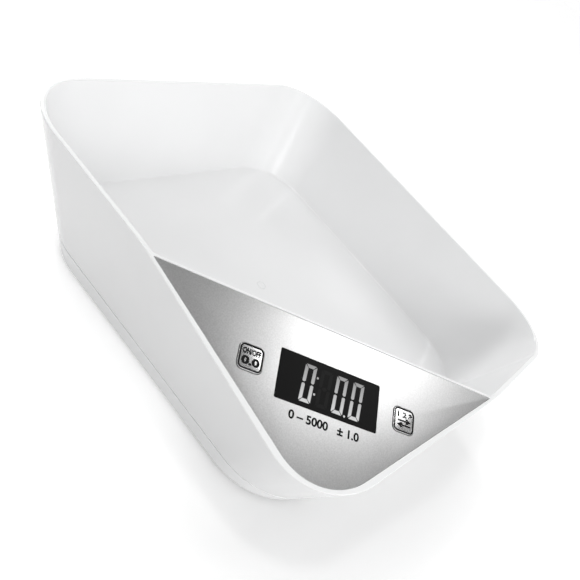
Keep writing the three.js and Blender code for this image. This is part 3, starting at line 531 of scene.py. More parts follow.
LEAN_FOOT = 30.0
MEETING_ROUNDS = 14
OUTER_WALL_RINGS = (0.12, 0.3, 0.55, 0.8)
INNER_WALL_RINGS = (0.1, 0.3, 0.55, 0.8)
FLOOR_FILLET_SWEEP = math.radians(78)
GATE_PROFILE = ((0, 0), (0.2, 0.64), (0.5, 1), (0.8, 0.64), (1, 0))


def surface(q):
    """Height of the shared upper surface of rim and deck."""
    d = q + BEND
    if d >= BEND_SOFTNESS:
        return RIM_TOP
    if d <= -BEND_SOFTNESS:
        return RIM_TOP + d * SLOPE
    t = (d + BEND_SOFTNESS) / (2 * BEND_SOFTNESS)
    return RIM_TOP - BEND_SOFTNESS * SLOPE * (1 - t) ** 2


def deck_underside(q):
    depth_q = -BEND - DECK_UNDER * math.sin(DECK_ANGLE)
    depth_z = RIM_TOP + DECK_UNDER * math.cos(DECK_ANGLE)
    return depth_z + (q - depth_q) * SLOPE


def wall_points(loop_at, heights):
    """The points of a leaning loop at one height for each point."""
    low_loop = loop_at(LEAN_FOOT)
    high_loop = loop_at(RIM_TOP)
    result = []
    for k, z in enumerate(heights):
        result.append(low_loop[k].lerp(high_loop[k], (z - LEAN_FOOT) / (RIM_TOP - LEAN_FOOT)))
    return result


def meet(loop_at, height_of):
    """Follows each point of a leaning loop to the surface. Returns the points and their heights."""
    points = loop_at(RIM_TOP)
    heights = [RIM_TOP] * len(points)
    for _ in range(MEETING_ROUNDS):
        points = wall_points(loop_at, heights)
        heights = [height_of((p.x + p.y) / math.sqrt(2)) for p in points]
    return points, heights


def rounded_edge(shape, land, edge, wall):
    """Loops along a rounded edge, from the land to the wall. Each argument is (points, heights)."""
    loops = []
    for k in range(RIM_STEPS + 1):
        t = k / RIM_STEPS
        a, b, c = (1 - t) ** 2, 2 * t * (1 - t), t * t
        points = []
        heights = []
        for i in range(len(land[0])):
            points.append(land[0][i] * a + edge[0][i] * b + wall[0][i] * c)
            heights.append(land[1][i] * a + edge[1][i] * b + wall[1][i] * c)
        loops.append(shape.loop(points, heights))
    return loops


def make_bowl():
    shape = Shape()

    # Outer wall with the rounded outer edge of the rim
    def outer_at(inset):
        return lambda z: square_loop(z, inset)

    edge = meet(outer_at(0), surface)
    land = meet(outer_at(OUTER_ROUND), surface)
    below_edge = [z - OUTER_ROUND for z in edge[1]]
    wall = (wall_points(outer_at(0), below_edge), below_edge)
    outer = rounded_edge(shape, land, edge, wall)
    for f in OUTER_WALL_RINGS:
        heights = [z + (SKIRT_BOTTOM - z) * f for z in below_edge]
        outer.append(shape.loop(wall_points(outer_at(0), heights), heights))
    for inset, rise in reversed(edge_arc(SKIRT_EDGE_ROUND, PLATE_EDGE_STEPS)):
        outer.append(shape.loop(square_loop(SKIRT_BOTTOM + rise, inset), SKIRT_BOTTOM + rise))
    shape.stack(outer)
    shape.face(outer[-1])

    # Hollow with the rounded inner edge of the rim, the floor fillet and the floor
    edge = meet(bowl_loop, surface)
    land = meet(lambda z: bowl_loop(z, INNER_ROUND), surface)
    below_edge = [z - INNER_ROUND for z in edge[1]]
    wall = (wall_points(bowl_loop, below_edge), below_edge)
    inner = rounded_edge(shape, land, edge, wall)
    fillet_top = FLOOR_TOP + FLOOR_FILLET * (1 - math.cos(FLOOR_FILLET_SWEEP))
    for f in INNER_WALL_RINGS:
        heights = [z + (fillet_top - z) * f for z in below_edge]
        inner.append(shape.loop(wall_points(bowl_loop, heights), heights))
    for k in range(FLOOR_FILLET_STEPS, -1, -1):
        z = FLOOR_TOP + FLOOR_FILLET * (1 - math.cos(FLOOR_FILLET_SWEEP * k / FLOOR_FILLET_STEPS))
        inner.append(shape.loop(bowl_loop(z), z))
    shape.stack(inner)
    ring = []
    for inward, deep in GATE_PROFILE:
        loop = circle_loop(*GATE, GATE_RADIUS - inward * GATE_RING_WIDTH)
        ring.append(shape.loop(loop, FLOOR_TOP - deep * GATE_RING_DEPTH))
    shape.stack(ring)
    shape.face(ring[-1])
    shape.fill(in_plan, inner[-1], [ring[0]])

    # Pocket for the fascia, in the deck's frame
    pocket = []
    for inset, drop in edge_arc(POCKET_ROUND, PLATE_EDGE_STEPS):
        loop = fascia_loop(-inset, True)
        points = [deck_point(p.x, p.y, 0) for p in loop]
        tops = [surface(p.dot(Q_AXIS)) - p.z for p in points]
        start = len(shape.points)
        for p, lift in zip(loop, tops):
            shape.points.append(deck_point(p.x, p.y, lift * math.cos(DECK_ANGLE) - drop))
        pocket.append(list(range(start, len(shape.points))))
    start = len(shape.points)
    for p in fascia_loop(0, True):
        shape.points.append(deck_point(p.x, p.y, POCKET_FLOOR))
    pocket.append(list(range(start, len(shape.points))))
    shape.stack(pocket)
    shape.face(pocket[-1])

    # The land between the three edges
    shape.fill(in_plan, outer[0], [inner[0], pocket[0]])
    bowl = shape.build("bowl_moulding")

    # Hidden underside: the space below the floor and the space under the deck
    under = Shape()
    loops = [under.loop(square_loop(z, WALL), z) for z in (SKIRT_BOTTOM - 5 * OVERCUT, FLOOR_UNDER)]
    under.bridge(*loops)
    under.face(reversed(loops[0]))
    under.face(loops[1])
    space = Shape()
    top_points, top_heights = meet(corner_loop, deck_underside)
    loops = [space.loop(corner_loop(SKIRT_BOTTOM), SKIRT_BOTTOM), space.loop(top_points, top_heights)]
    space.bridge(*loops)
    space.face(reversed(loops[0]))
    space.face(loops[1])
    combine(bowl, [under.build("under"), space.build("space")], "DIFFERENCE")
    below = DECK_UNDER - OVERCUT
    holes = [prism(key_loop(at, KEY_CLEARANCE), below, 0, deck_point) for at in KEY_PLACES]
    holes.append(prism(window_loop(-WINDOW_LEDGE), below, 0, deck_point))
    combine(bowl, holes, "DIFFERENCE")
    seat = prism(window_loop(PANEL_CLEARANCE), WINDOW_UNDER - SEAT_DROP, 0, deck_point)
    combine(bowl, [seat], "DIFFERENCE")
    return smooth(bowl, SHELL_EDGE)


# Materials


class Nodes:
    """A small helper that adds and joins the nodes of one material. Values are given by the names
    of a node's settings or sockets, with _ for a space."""

    def __init__(self, name):
        self.material = bpy.data.materials.new(name)
        self.material.use_nodes = True
        self.tree = self.material.node_tree
        self.shader = self.tree.nodes["Principled BSDF"]

    def add(self, kind, **values):
        node = self.tree.nodes.new("ShaderNode" + kind)
        for key, value in values.items():
            if hasattr(node, key):
                setattr(node, key, value)
            else:
                node.inputs[key.replace("_", " ")].default_value = value
        return node

    def join(self, source, output, target, name):
        self.tree.links.new(source.outputs[output], target.inputs[name])

    def set(self, **values):
        for key, value in values.items():
            self.shader.inputs[key.replace("_", " ")].default_value = value

    def coordinates(self, scale=(1, 1, 1)):
        place = self.add("TexCoord")
        mapping = self.add("Mapping", Scale=scale)
        self.join(place, "Object", mapping, "Vector")
        return mapping

    def noise(self, mapping, scale, detail, roughness=0.5):
        node = self.add("TexNoise", Scale=scale, Detail=detail, Roughness=roughness)
        self.join(mapping, "Vector", node, "Vector")
        return node

    def ramp(self, source, output, low, high, start=0.3, end=0.7):
        node = self.add("ValToRGB")
        node.color_ramp.elements[0].position = start
        node.color_ramp.elements[0].color = low
        node.color_ramp.elements[1].position = end
        node.color_ramp.elements[1].color = high
        self.join(source, output, node, "Fac")
        return node

    def between(self, source, output, low, high):
        node = self.add("MapRange", To_Min=low, To_Max=high)
        self.join(source, output, node, "Value")
        return node

    def bump(self, source, output, strength, distance):
        node = self.add("Bump", Strength=strength, Distance=distance)
        self.join(source, output, node, "Height")
        self.join(node, "Normal", self.shader, "Normal")


CLOUD_SCALE = 14
PLASTIC_GRAIN_DEPTH = 0.00004
METAL_GRAIN_DEPTH = 0.00003
FAINT_BLUE = 0.003
FIGURE_FADE_FOOT = 0.0588
FIGURE_FADE_TOP = 0.0646


def grey(value, tint=0.0):
    return (value - tint, value, value + tint, 1)


def moulded(name, low, high, rough_low, rough_high, grain, bump, tint=FAINT_BLUE):
    """Moulded plastic or rubber: faint cloudy colour, uneven gloss and a fine surface."""
    nodes = Nodes(name)
    mapping = nodes.coordinates()
    cloud = nodes.noise(mapping, CLOUD_SCALE, 3)
    colour = nodes.ramp(cloud, "Fac", grey(low, tint), grey(high, tint))
    nodes.join(colour, "Color", nodes.shader, "Base Color")
    fine = nodes.noise(mapping, grain, 2)
    rough = nodes.between(fine, "Fac", rough_low, rough_high)
    nodes.join(rough, "Result", nodes.shader, "Roughness")
    nodes.bump(fine, "Fac", bump, PLASTIC_GRAIN_DEPTH)
    return nodes.material


def metal(name, low, high, rough_low, rough_high, grain, bump=0.15, stretch=(1, 1, 1)):
    """Metal with a fine grain: stretch is the texture's scale along x, y and z."""
    nodes = Nodes(name)
    nodes.set(Metallic=1.0)
    mapping = nodes.coordinates(stretch)
    fine = nodes.noise(mapping, grain, 4, 0.6)
    colour = nodes.ramp(fine, "Fac", grey(low), grey(high))
    nodes.join(colour, "Color", nodes.shader, "Base Color")
    rough = nodes.between(fine, "Fac", rough_low, rough_high)
    nodes.join(rough, "Result", nodes.shader, "Roughness")
    nodes.bump(fine, "Fac", bump, METAL_GRAIN_DEPTH)
    return nodes.material


def green_board():
    nodes = Nodes("solder_mask_green")
    mapping = nodes.coordinates()
    cloud = nodes.noise(mapping, 300, 4)
    colour = nodes.ramp(cloud, "Fac", (0.02, 0.13, 0.05, 1), (0.04, 0.2, 0.08, 1))
    nodes.join(colour, "Color", nodes.shader, "Base Color")
    rough = nodes.between(cloud, "Fac", 0.3, 0.45)
    nodes.join(rough, "Result", nodes.shader, "Roughness")
    nodes.bump(cloud, "Fac", 0.2, PLASTIC_GRAIN_DEPTH)
    return nodes.material


def lit_figure():
    """Display figures with painted shading: they get a little lighter towards the bottom, which is lower
    in Z.
    """
    nodes = Nodes("lit_figure")
    place = nodes.add("TexCoord")
    split = nodes.add("SeparateXYZ")
    nodes.join(place, "Object", split, "Vector")
    # Painted shading: the figures' colour runs from light at their foot to dark at their top
    fade = nodes.add("MapRange", From_Min=FIGURE_FADE_FOOT, From_Max=FIGURE_FADE_TOP)
    nodes.join(split, "Z", fade, "Value")
    colour = nodes.ramp(fade, "Result", grey(0.62), grey(0.3), 0.0, 1.0)
    nodes.join(colour, "Color", nodes.shader, "Base Color")
    nodes.set(Roughness=0.4, Specular_IOR_Level=0.1)
    return nodes.material


# Plastics: colour from and to, roughness from and to, grain, bump. Metals have the grain's stretch too
MATERIALS = {
    "bowl_plastic": moulded("gloss_white", 0.83, 0.86, 0.14, 0.18, 4000, 0.015),
    # The base's white is lighter than the bowl's: painted light that makes up for the shade near the floor
    "base_plastic": moulded("satin_white", 0.88, 0.9, 0.22, 0.27, 4000, 0.03),
    "foot_rubber": moulded("foot_rubber", 0.05, 0.075, 0.75, 0.9, 1500, 0.3),
    "bare_aluminium": metal("milled_aluminium", 0.68, 0.8, 0.28, 0.42, 60, stretch=(1, 20, 20)),
    "screw_steel": metal("zinc_steel", 0.52, 0.66, 0.25, 0.4, 900),
    "spring_steel": metal("nickel_spring", 0.6, 0.72, 0.18, 0.3, 900),
    "black_plastic": moulded("black_plastic", 0.02, 0.035, 0.4, 0.6, 1200, 0.15),
    "diffuser": moulded("milky_diffuser", 0.78, 0.86, 0.4, 0.5, 600, 0.05),
    "strip_rubber": moulded("strip_rubber", 0.14, 0.22, 0.7, 0.85, 3000, 0.2),
    "circuit_board": green_board(),
    "switch_plunger": moulded("plunger_plastic", 0.7, 0.8, 0.35, 0.5, 900, 0.1),
    "cable_sheath": moulded("cable_sheath", 0.24, 0.32, 0.5, 0.65, 1500, 0.15),
    "battery_shell": metal("battery_sleeve", 0.16, 0.26, 0.25, 0.35, 300),
    "lcd_glass": moulded("display_glass", 0.012, 0.02, 0.06, 0.1, 200, 0.01),
    "display_window": moulded("window_plastic", 0.006, 0.009, 0.3, 0.36, 200, 0.01, tint=0),
    "key_chrome": metal("satin_chrome", 0.68, 0.72, 0.2, 0.25, 4000, 0.01),
    "brushed_fascia": metal("satin_metal", 0.58, 0.7, 0.26, 0.32, 1500, 0.12),
    "black_print": moulded("black_print", 0.008, 0.014, 0.35, 0.5, 900, 0.05, tint=0),
    "unlit_figure": moulded("unlit_figure", 0.011, 0.014, 0.3, 0.36, 200, 0.01, tint=0),
    "lit_figure": lit_figure(),
}
BLACK_SPECULAR = 0.05
for name in ("display_window", "unlit_figure", "black_print"):
    shader = MATERIALS[name].node_tree.nodes["Principled BSDF"]
    shader.inputs["Specular IOR Level"].default_value = BLACK_SPECULAR


def dress(piece, material):
    piece.data.materials.clear()
    piece.data.materials.append(material)


SLOTS = {part["node"]: part["material_slot"] for part in frame["record"]["subparts"]}
for name, node in frame["nodes"].items():
    dress(node, MATERIALS[SLOTS[name]])


def settle(piece, body, material, node=None):
    """Gives a piece the material of a slot and its body, and hides the CAD node that it stands for."""
    dress(piece, MATERIALS[material])
    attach(piece, body)
    if node:
        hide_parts(node)
    return piece


settle(make_bowl(), "platform", "bowl_plastic", "bowl")

# Fascia, window and printing, in the deck's frame


def deck_plate(name, outer, holes, under, top, edge):
    return plate(name, outer, holes, under, top, edge, deck_point, in_deck)


def key_gap(at):
    return lambda grow: key_loop(at, KEY_CLEARANCE + grow)


fascia = deck_plate(
    "fascia_plate",
    lambda grow: fascia_loop(FASCIA_CLEARANCE - grow),
    [lambda grow: window_loop(FASCIA_CLEARANCE + grow), *[key_gap(at) for at in KEY_PLACES]],
    FASCIA_UNDER,
    FASCIA_TOP,
    FASCIA_EDGE_ROUND,
)
settle(fascia, "platform", "brushed_fascia", "fascia_panel")

window = deck_plate("window_pane", window_loop, [], WINDOW_UNDER, FASCIA_TOP, WINDOW_EDGE_ROUND)
settle(window, "platform", "display_window", "display_window")

# The display's figures: strokes with mitred ends on a slant, seen just under the window's surface
FIGURE_HEIGHT = 17.2
FIGURE_WIDTH = 5.8
FIGURE_STROKE = 1.6
FIGURE_GAP = 0.14
FIGURE_SLANT = 0.087
FIGURE_DROP = 0.3
FIGURE_PROUD = 0.03
UNLIT_PROUD = 0.012
FIGURE_TIP_DROP = 0.3
FIGURE_TIP = (0.35, 0.45)
FIGURE_TOP_NICK = 0.25
FIGURE_MIDDLE_GAP = 0.35
FIGURE_HEEL = 0.75
PRINT_THICKNESS = 0.02
DOT_RADIUS = 0.52
FIGURE_PLACES = [-10.87, 5.3, 13.95]
BLANK_PLACE = -2.6
DOTS = [(-6.49, 3.55), (-7.24, -4.05), (8.63, -8.68)]


def figure_strokes(names):
    """Outlines of the named strokes of one figure: top, bottom, and the upper and lower sides."""
    w, h, t, g = FIGURE_WIDTH / 2, FIGURE_HEIGHT / 2, FIGURE_STROKE, FIGURE_GAP
    tip_x, tip_y = FIGURE_TIP
    left_upper = [(-w, h - g - FIGURE_TIP_DROP), (-w + tip_x, h - g - tip_y), (-w + t, h - t - g),
                  (-w + t, t / 2), (-w + t * 0.7, FIGURE_MIDDLE_GAP), (-w + t * 0.25, FIGURE_MIDDLE_GAP),
                  (-w, FIGURE_HEEL)]
    top_half = w - g - FIGURE_TOP_NICK
    top = [(-top_half, h), (top_half, h), (w - t - g, h - t), (-w + t + g, h - t)]
    middle = [(-w + t, 0), (-w + t * 1.5, t / 2), (w - t * 1.5, t / 2), (w - t, 0),
              (w - t * 1.5, -t / 2), (-w + t * 1.5, -t / 2)]
    every = {
        "top": top,
        "bottom": [(x, -y) for x, y in top],
        "left_upper": left_upper,
        "left_lower": [(x, -y) for x, y in left_upper],
        "right_upper": [(-x, y) for x, y in left_upper],
        "right_lower": [(-x, -y) for x, y in left_upper],
        "middle": middle,
    }
    return [every[name] for name in names]


def printed(name, outlines, height):
    """Thin flat shapes, such as display strokes, at a height in the deck's frame."""
    shape = Shape(deck_point)
    for outline in outlines:
        low = shape.loop(outline, height - PRINT_THICKNESS)
        high = shape.loop(outline, height)
        shape.bridge(low, high)
        shape.face(high)
        shape.face(reversed(low))
    return shape.build(name)


def on_display(x, outline):
    return [(WINDOW_X + x + px + py * FIGURE_SLANT, DISPLAY_Y - FIGURE_DROP + py) for px, py in outline]


ZERO = ["top", "bottom", "left_upper", "left_lower", "right_upper", "right_lower"]
lit = [on_display(x, outline) for x in FIGURE_PLACES for outline in figure_strokes(ZERO)]
lit += [circle_loop(WINDOW_X + x, DISPLAY_Y + y, DOT_RADIUS, DOT_STEPS) for x, y in DOTS]
figures = printed("display_figures", lit, FASCIA_TOP + FIGURE_PROUD)
settle(figures, "platform", "lit_figure")

ghosts = [on_display(BLANK_PLACE, outline) for outline in figure_strokes([*ZERO, "middle"])]
unlit = printed("display_unlit_strokes", ghosts, FASCIA_TOP + UNLIT_PROUD)
settle(unlit, "platform", "unlit_figure")


def lettering(name, body, size, x, y, height_at, stretch, weight, cuts=0):
    """Flat printed characters that lie on a surface whose height in the deck's frame is given."""
    data = bpy.data.curves.new(name, "FONT")
    data.body = body
    data.size = size
    data.align_x = "CENTER"
    data.align_y = "CENTER"
    data.offset = size * weight
    maker = bpy.data.objects.new(name, data)
    bpy.context.scene.collection.objects.link(maker)
    bpy.context.view_layer.update()
    graph = bpy.context.evaluated_depsgraph_get()
    mesh = bpy.data.meshes.new_from_object(maker.evaluated_get(graph))
    bpy.data.objects.remove(maker)
    work = bmesh.new()
    work.from_mesh(mesh)
    if cuts:
        bmesh.ops.subdivide_edges(work, edges=work.edges, cuts=cuts, use_grid_fill=True)
    bmesh.ops.triangulate(work, faces=work.faces)
    work.to_mesh(mesh)
    work.free()
    for vertex in mesh.vertices:
        px = x + vertex.co.x * stretch
        py = y + vertex.co.y
        vertex.co = deck_point(px, py, height_at(px, py)) * MM
    piece = bpy.data.objects.new(name, mesh)
    bpy.context.scene.collection.objects.link(piece)
    return piece


PRINT_PROUD = 0.02
LINE_X = DISPLAY_X - 1.0
LINE_Y = DISPLAY_Y - 15.9
LINE_SIZE = 5.1
LINE_STRETCH = 1.06
LINE_WEIGHT = 0.035
line = lettering("range_numbers", "0 \u2013 5000   \u00b1 1.0", LINE_SIZE, LINE_X, LINE_Y,
                 lambda x, y: FASCIA_TOP + PRINT_PROUD, LINE_STRETCH, LINE_WEIGHT)
settle(line, "platform", "black_print")

# Keys: a crowned cap with a rounded edge, its flange and its foot
KEY_CROWN = 0.2
KEY_CROWN_FOOT = -0.1
KEY_CROWN_INSETS = (5.2, 4.5, 3.8, 3.1, 2.4, 1.7, 1.0, 0.6)
KEY_EDGE = 0.3
KEY_SIDE_POINTS = even(0, 1, 9)
KEY_FOOT_OVERLAP = 0.5
FRAME_INNER = 0.95
FRAME_OUTER = 0.2
LEGEND_WEIGHT = 0.05
LEGEND_PROUD = 0.04
LEGEND_CUTS = 4


def key_height(at, x, y):
    half = KEY_SIZE / 2
    fx = min(abs(x - at[0]) / half, 1)
    fy = min(abs(y - at[1]) / half, 1)
    return KEY_TOP + KEY_CROWN_FOOT + KEY_CROWN * (1 - fx * fx) * (1 - fy * fy)


def make_key(name, at):
    shape = Shape(deck_point)
    loops = []
    crown = [(inset, 0) for inset in KEY_CROWN_INSETS]
    for inset, drop in crown + edge_arc(KEY_EDGE, KEY_EDGE_STEPS):
        outline = key_loop(at, -inset, KEY_SIDE_POINTS)
        loops.append(shape.loop(outline, [key_height(at, p[0], p[1]) - drop for p in outline]))
    flange_under = KEY_FLANGE_TOP - KEY_FLANGE_THICKNESS
    for grow, height in ((0, KEY_FLANGE_TOP), (KEY_FLANGE, KEY_FLANGE_TOP), (KEY_FLANGE, flange_under)):
        loops.append(shape.loop(key_loop(at, grow, KEY_SIDE_POINTS), height))
    shape.stack(loops)
    shape.face(loops[0])
    shape.face(loops[-1])
    key = shape.build(name)
    foot_top = KEY_FLANGE_TOP - KEY_FOOT_OVERLAP
    foot = prism(circle_loop(*at, KEY_FOOT_RADIUS), KEY_FOOT_UNDER, foot_top, deck_point)
    combine(key, [foot], "UNION")
    return smooth(key, FINE_EDGE)


def make_ring(name, at, inner, outer):
    """A thin printed frame near the edge of a key's cap."""
    shape = Shape(deck_point)
    loops = []
    for grow, lift in ((inner, 0), (inner, LEGEND_PROUD), (outer, LEGEND_PROUD), (outer, 0)):
        outline = key_loop(at, grow, KEY_SIDE_POINTS)
        loops.append(shape.loop(outline, [key_height(at, p[0], p[1]) + lift for p in outline]))
    shape.stack(loops)
    shape.bridge(loops[-1], loops[0])
    return shape.build(name)


for side, at in zip(("zero", "unit"), KEY_PLACES):
    key = make_key(f"{side}_key_cap", at)
    settle(key, f"{side}_button", "key_chrome", f"{side}_key")
    ring = make_ring(f"{side}_key_frame", at, -FRAME_INNER, -FRAME_OUTER)
    settle(ring, f"{side}_button", "black_print")

# Key, its index, height of the line above the key's middle, characters, size and stretch
LEGENDS = [
    ("zero", 0, 2.3, "ON/OFF", 3.4, 0.68),
    ("zero", 0, -1.8, "0.0", 4.6, 1.45),
    ("unit", 1, 2.3, "1 2 3", 3.4, 1.25),
    ("unit", 1, -1.7, "\u21c4", 4.4, 1.6),
]
for count, (side, index, lift, body, size, stretch) in enumerate(LEGENDS):
    at = KEY_PLACES[index]
    legend = lettering(f"{side}_key_legend_{count}", body, size, at[0], at[1] + lift,
                       lambda x, y, at=at: key_height(at, x, y) + LEGEND_PROUD, stretch,
                       LEGEND_WEIGHT, LEGEND_CUTS)
    settle(legend, f"{side}_button", "black_print")

# Base

BAY_Y = -46.5
BAY_HALF = 25.25
BAY_WIDTH = 22.3
BAY_WALL = 1.8
BAY_CEILING = 14.7
BAY_ROOF = 1.4
DOOR_TOP = 3.6
DOOR_CLEARANCE = 0.3
RECESS_LEDGE = 2.0
RECESS_END = BAY_HALF + RECESS_LEDGE
RECESS_SIDE = BAY_WIDTH / 2 + RECESS_LEDGE
LEDGE_TOP = 5.7
BATTERY_Z = 9.15
BATTERY_OFFSET = 5.6
BATTERY_ROWS = (BAY_Y + BATTERY_OFFSET, BAY_Y - BATTERY_OFFSET)
TAB_SLOT_HALF = 1.8
TAB_SLOT_HALF_HEIGHT = 0.55
TONGUE_OFFSET = 8.0
TONGUE_HALF = 3.0
TONGUE_LENGTH = 1.8
TONGUE_THICKNESS = 1.0
TONGUE_SLOT_DEPTH = 1.3
TONGUE_SLOT_OVERLAP = 0.5
LATCH_HALF = 4.5
LATCH_HEIGHT = 6.5
LATCH_THICKNESS = 1.0
LATCH_ROOT = 0.9
LATCH_NOSE = 1.1
LATCH_NOSE_UNDER = 1.0
LATCH_NOSE_TOP = 2.2
FINGER_NOTCH = 3.6
NOTCH_OVERLAP = 5
NOTCH_RADIUS = 1.5
DOOR_CORNER_RADIUS = 0.6
DOOR_EDGE_BEVEL = 0.15
GRIP_GROOVES = 4
GRIP_START = 5.0
GRIP_PITCH = 2.4
GRIP_HALF = 0.5
GRIP_DEPTH = 0.5
FOOT_PLACE = 68.0
FOOT_RADIUS = 6.5
FOOT_HEIGHT = 3.0
FOOT_EDGE_ROUND = 0.7
FOOT_DISH = [(2.0, 0.25), (2.4, 0.0)]
SOCKET_TOP = 3.3
SOCKET_CLEARANCE = 0.3
SOCKET_ROOF = 2.0
SOCKET_WALL = 2.3
CELL_PAD = (-35, -11, -10, 10)
CELL_UNDER = 6.4
CELL_SCREWS = (28.0, 18.0)
SCREW_BORE_RADIUS = 2.3
SCREW_BORE_TOP = 20.0
HEAD_POCKET_RADIUS = 4.1
HEAD_POCKET_TOP = 4.3
POST_PLACE = 40.0
POST_RADIUS = 3.0
POST_TOP = 17.65
BASE_RIM_ROUND = 0.3
CORNERS = [(-1, -1), (1, -1), (1, 1), (-1, 1)]

# Added bodies start inside the base's floor, and their faces stay a hair apart
ROOTED = 2.9
HAIR = 0.01


def make_base():
    # Section of the tray as heights and insets, from the underside over the lip to the inside floor
    bottom_edge = edge_arc(BASE_EDGE_RADIUS, BASE_EDGE_STEPS)
    rim_edge = reversed(edge_arc(BASE_RIM_ROUND, PLATE_EDGE_STEPS))
    section = [(FOOT_STAND + rise, inset) for inset, rise in bottom_edge]
    section += [(BASE_WALL_TOP - drop, inset) for inset, drop in rim_edge]
    section += [
        (BASE_WALL_TOP, LIP_INSET),
        (LIP_TOP, LIP_INSET),
        (LIP_TOP, LIP_INSET + LIP_THICKNESS),
        (COLLAR_FOOT, LIP_INSET + LIP_THICKNESS),
        (COLLAR_FOOT, WALL),
        (BASE_FLOOR_TOP, WALL),
    ]
    shape = Shape()
    loops = [shape.loop(square_loop(z, inset), z) for z, inset in section]
    shape.stack(loops)
    shape.face(loops[0])
    shape.face(loops[-1])
    base = shape.build("base_moulding")

    # The block under the load cell, the battery bay, the ledge around its door, posts and sockets
    bay_low, bay_high = BAY_Y - BAY_WIDTH / 2, BAY_Y + BAY_WIDTH / 2
    recess_low, recess_high = BAY_Y - RECESS_SIDE, BAY_Y + RECESS_SIDE
    added = [
        block(*CELL_PAD, ROOTED, CELL_UNDER),
        block(-BAY_HALF - BAY_WALL, BAY_HALF + BAY_WALL, bay_low - BAY_WALL, bay_high + BAY_WALL,
              ROOTED, BAY_CEILING + BAY_ROOF),
        block(-RECESS_END - BAY_WALL, RECESS_END + BAY_WALL, recess_low - BAY_WALL,
              recess_high + BAY_WALL, ROOTED + HAIR, LEDGE_TOP),
    ]
    for x, y in CORNERS:
        added.append(post(x * POST_PLACE, y * POST_PLACE, ROOTED, POST_TOP, POST_RADIUS))
        added.append(post(x * FOOT_PLACE, y * FOOT_PLACE, ROOTED, SOCKET_TOP + SOCKET_ROOF,
                          FOOT_RADIUS + SOCKET_WALL))
    combine(base, added, "UNION")

    # Cuts from below: sockets, screw bores and the bay, then head pockets and the door's recess
    below = -OVERCUT
    cuts = [post(x * FOOT_PLACE, y * FOOT_PLACE, below, SOCKET_TOP, FOOT_RADIUS + SOCKET_CLEARANCE)
            for x, y in CORNERS]
    cuts += [post(-x, 0, below, SCREW_BORE_TOP, SCREW_BORE_RADIUS) for x in CELL_SCREWS]
    cuts.append(block(-BAY_HALF, BAY_HALF, bay_low, bay_high, below, BAY_CEILING))
    combine(base, cuts, "DIFFERENCE")
    cuts = [post(-x, 0, below, HEAD_POCKET_TOP, HEAD_POCKET_RADIUS) for x in CELL_SCREWS]
    cuts.append(block(-RECESS_END, RECESS_END, recess_low, recess_high, below,
                      DOOR_TOP + DOOR_CLEARANCE))
    combine(base, cuts, "DIFFERENCE")

    # Slots for the door's tongues, its latch and the battery contacts' tabs
    cuts = []
    half = TONGUE_HALF + DOOR_CLEARANCE
    for d in (-TONGUE_OFFSET, TONGUE_OFFSET):
        cuts.append(block(-RECESS_END - TONGUE_LENGTH - DOOR_CLEARANCE, -BAY_HALF - TONGUE_SLOT_OVERLAP,
                          BAY_Y + d - half, BAY_Y + d + half, DOOR_TOP - TONGUE_SLOT_DEPTH,
                          LEDGE_TOP + OVERCUT))
    half = LATCH_HALF + DOOR_CLEARANCE
    latch_top = DOOR_TOP + LATCH_HEIGHT + DOOR_CLEARANCE
    cuts.append(block(BAY_HALF - OVERCUT, RECESS_END + HAIR, BAY_Y - half, BAY_Y + half, below, latch_top))
    for y in BATTERY_ROWS:
        cuts.append(block(-BAY_HALF - BAY_WALL - OVERCUT, -BAY_HALF + OVERCUT,
                          y - TAB_SLOT_HALF, y + TAB_SLOT_HALF,
                          BATTERY_Z - TAB_SLOT_HALF_HEIGHT, BATTERY_Z + TAB_SLOT_HALF_HEIGHT))
    combine(base, cuts, "DIFFERENCE")
    notch = rectangle_loop(FINGER_NOTCH + NOTCH_OVERLAP, 2 * (half + OVERCUT), NOTCH_RADIUS,
                           RECESS_END + (FINGER_NOTCH - NOTCH_OVERLAP) / 2, BAY_Y)
    combine(base, [prism(notch, below, latch_top)], "DIFFERENCE")
    return smooth(base, SHELL_EDGE)


settle(make_base(), "base", "base_plastic", "base_shell")


def bevelled(piece, width, segments):
    edge = piece.modifiers.new("edges", "BEVEL")
    edge.width = width * MM
    edge.segments = segments
    edge.limit_method = "ANGLE"
    edge.angle_limit = math.radians(FINE_EDGE)
    edge.harden_normals = False
    return piece


def make_door():
    length = RECESS_END - DOOR_CLEARANCE
    width = RECESS_SIDE - DOOR_CLEARANCE
    outline = rectangle_loop(2 * length, 2 * width, DOOR_CORNER_RADIUS, 0, BAY_Y)
    door = prism(outline, FOOT_STAND, DOOR_TOP)
    latch_low, latch_high = BAY_Y - LATCH_HALF, BAY_Y + LATCH_HALF
    added = [
        block(length - LATCH_THICKNESS, length, latch_low, latch_high, DOOR_TOP - LATCH_ROOT,
              DOOR_TOP + LATCH_HEIGHT),
        block(length - LATCH_ROOT, length + LATCH_NOSE, latch_low, latch_high,
              DOOR_TOP + LATCH_NOSE_UNDER, DOOR_TOP + LATCH_NOSE_TOP),
    ]
    for d in (-TONGUE_OFFSET, TONGUE_OFFSET):
        added.append(block(-RECESS_END - TONGUE_LENGTH, -length + TONGUE_LENGTH, BAY_Y + d - TONGUE_HALF,
                           BAY_Y + d + TONGUE_HALF, DOOR_TOP - TONGUE_THICKNESS, DOOR_TOP - HAIR))
    combine(door, added, "UNION")
    grooves = []
    for k in range(GRIP_GROOVES):
        x = length - GRIP_START - k * GRIP_PITCH
        grooves.append(block(x - GRIP_HALF, x + GRIP_HALF, latch_low, latch_high, -OVERCUT,
                             FOOT_STAND + GRIP_DEPTH))
    combine(door, grooves, "DIFFERENCE")
    return smooth(bevelled(door, DOOR_EDGE_BEVEL, 2), DOOR_EDGE)


settle(make_door(), "door", "base_plastic", "battery_door")

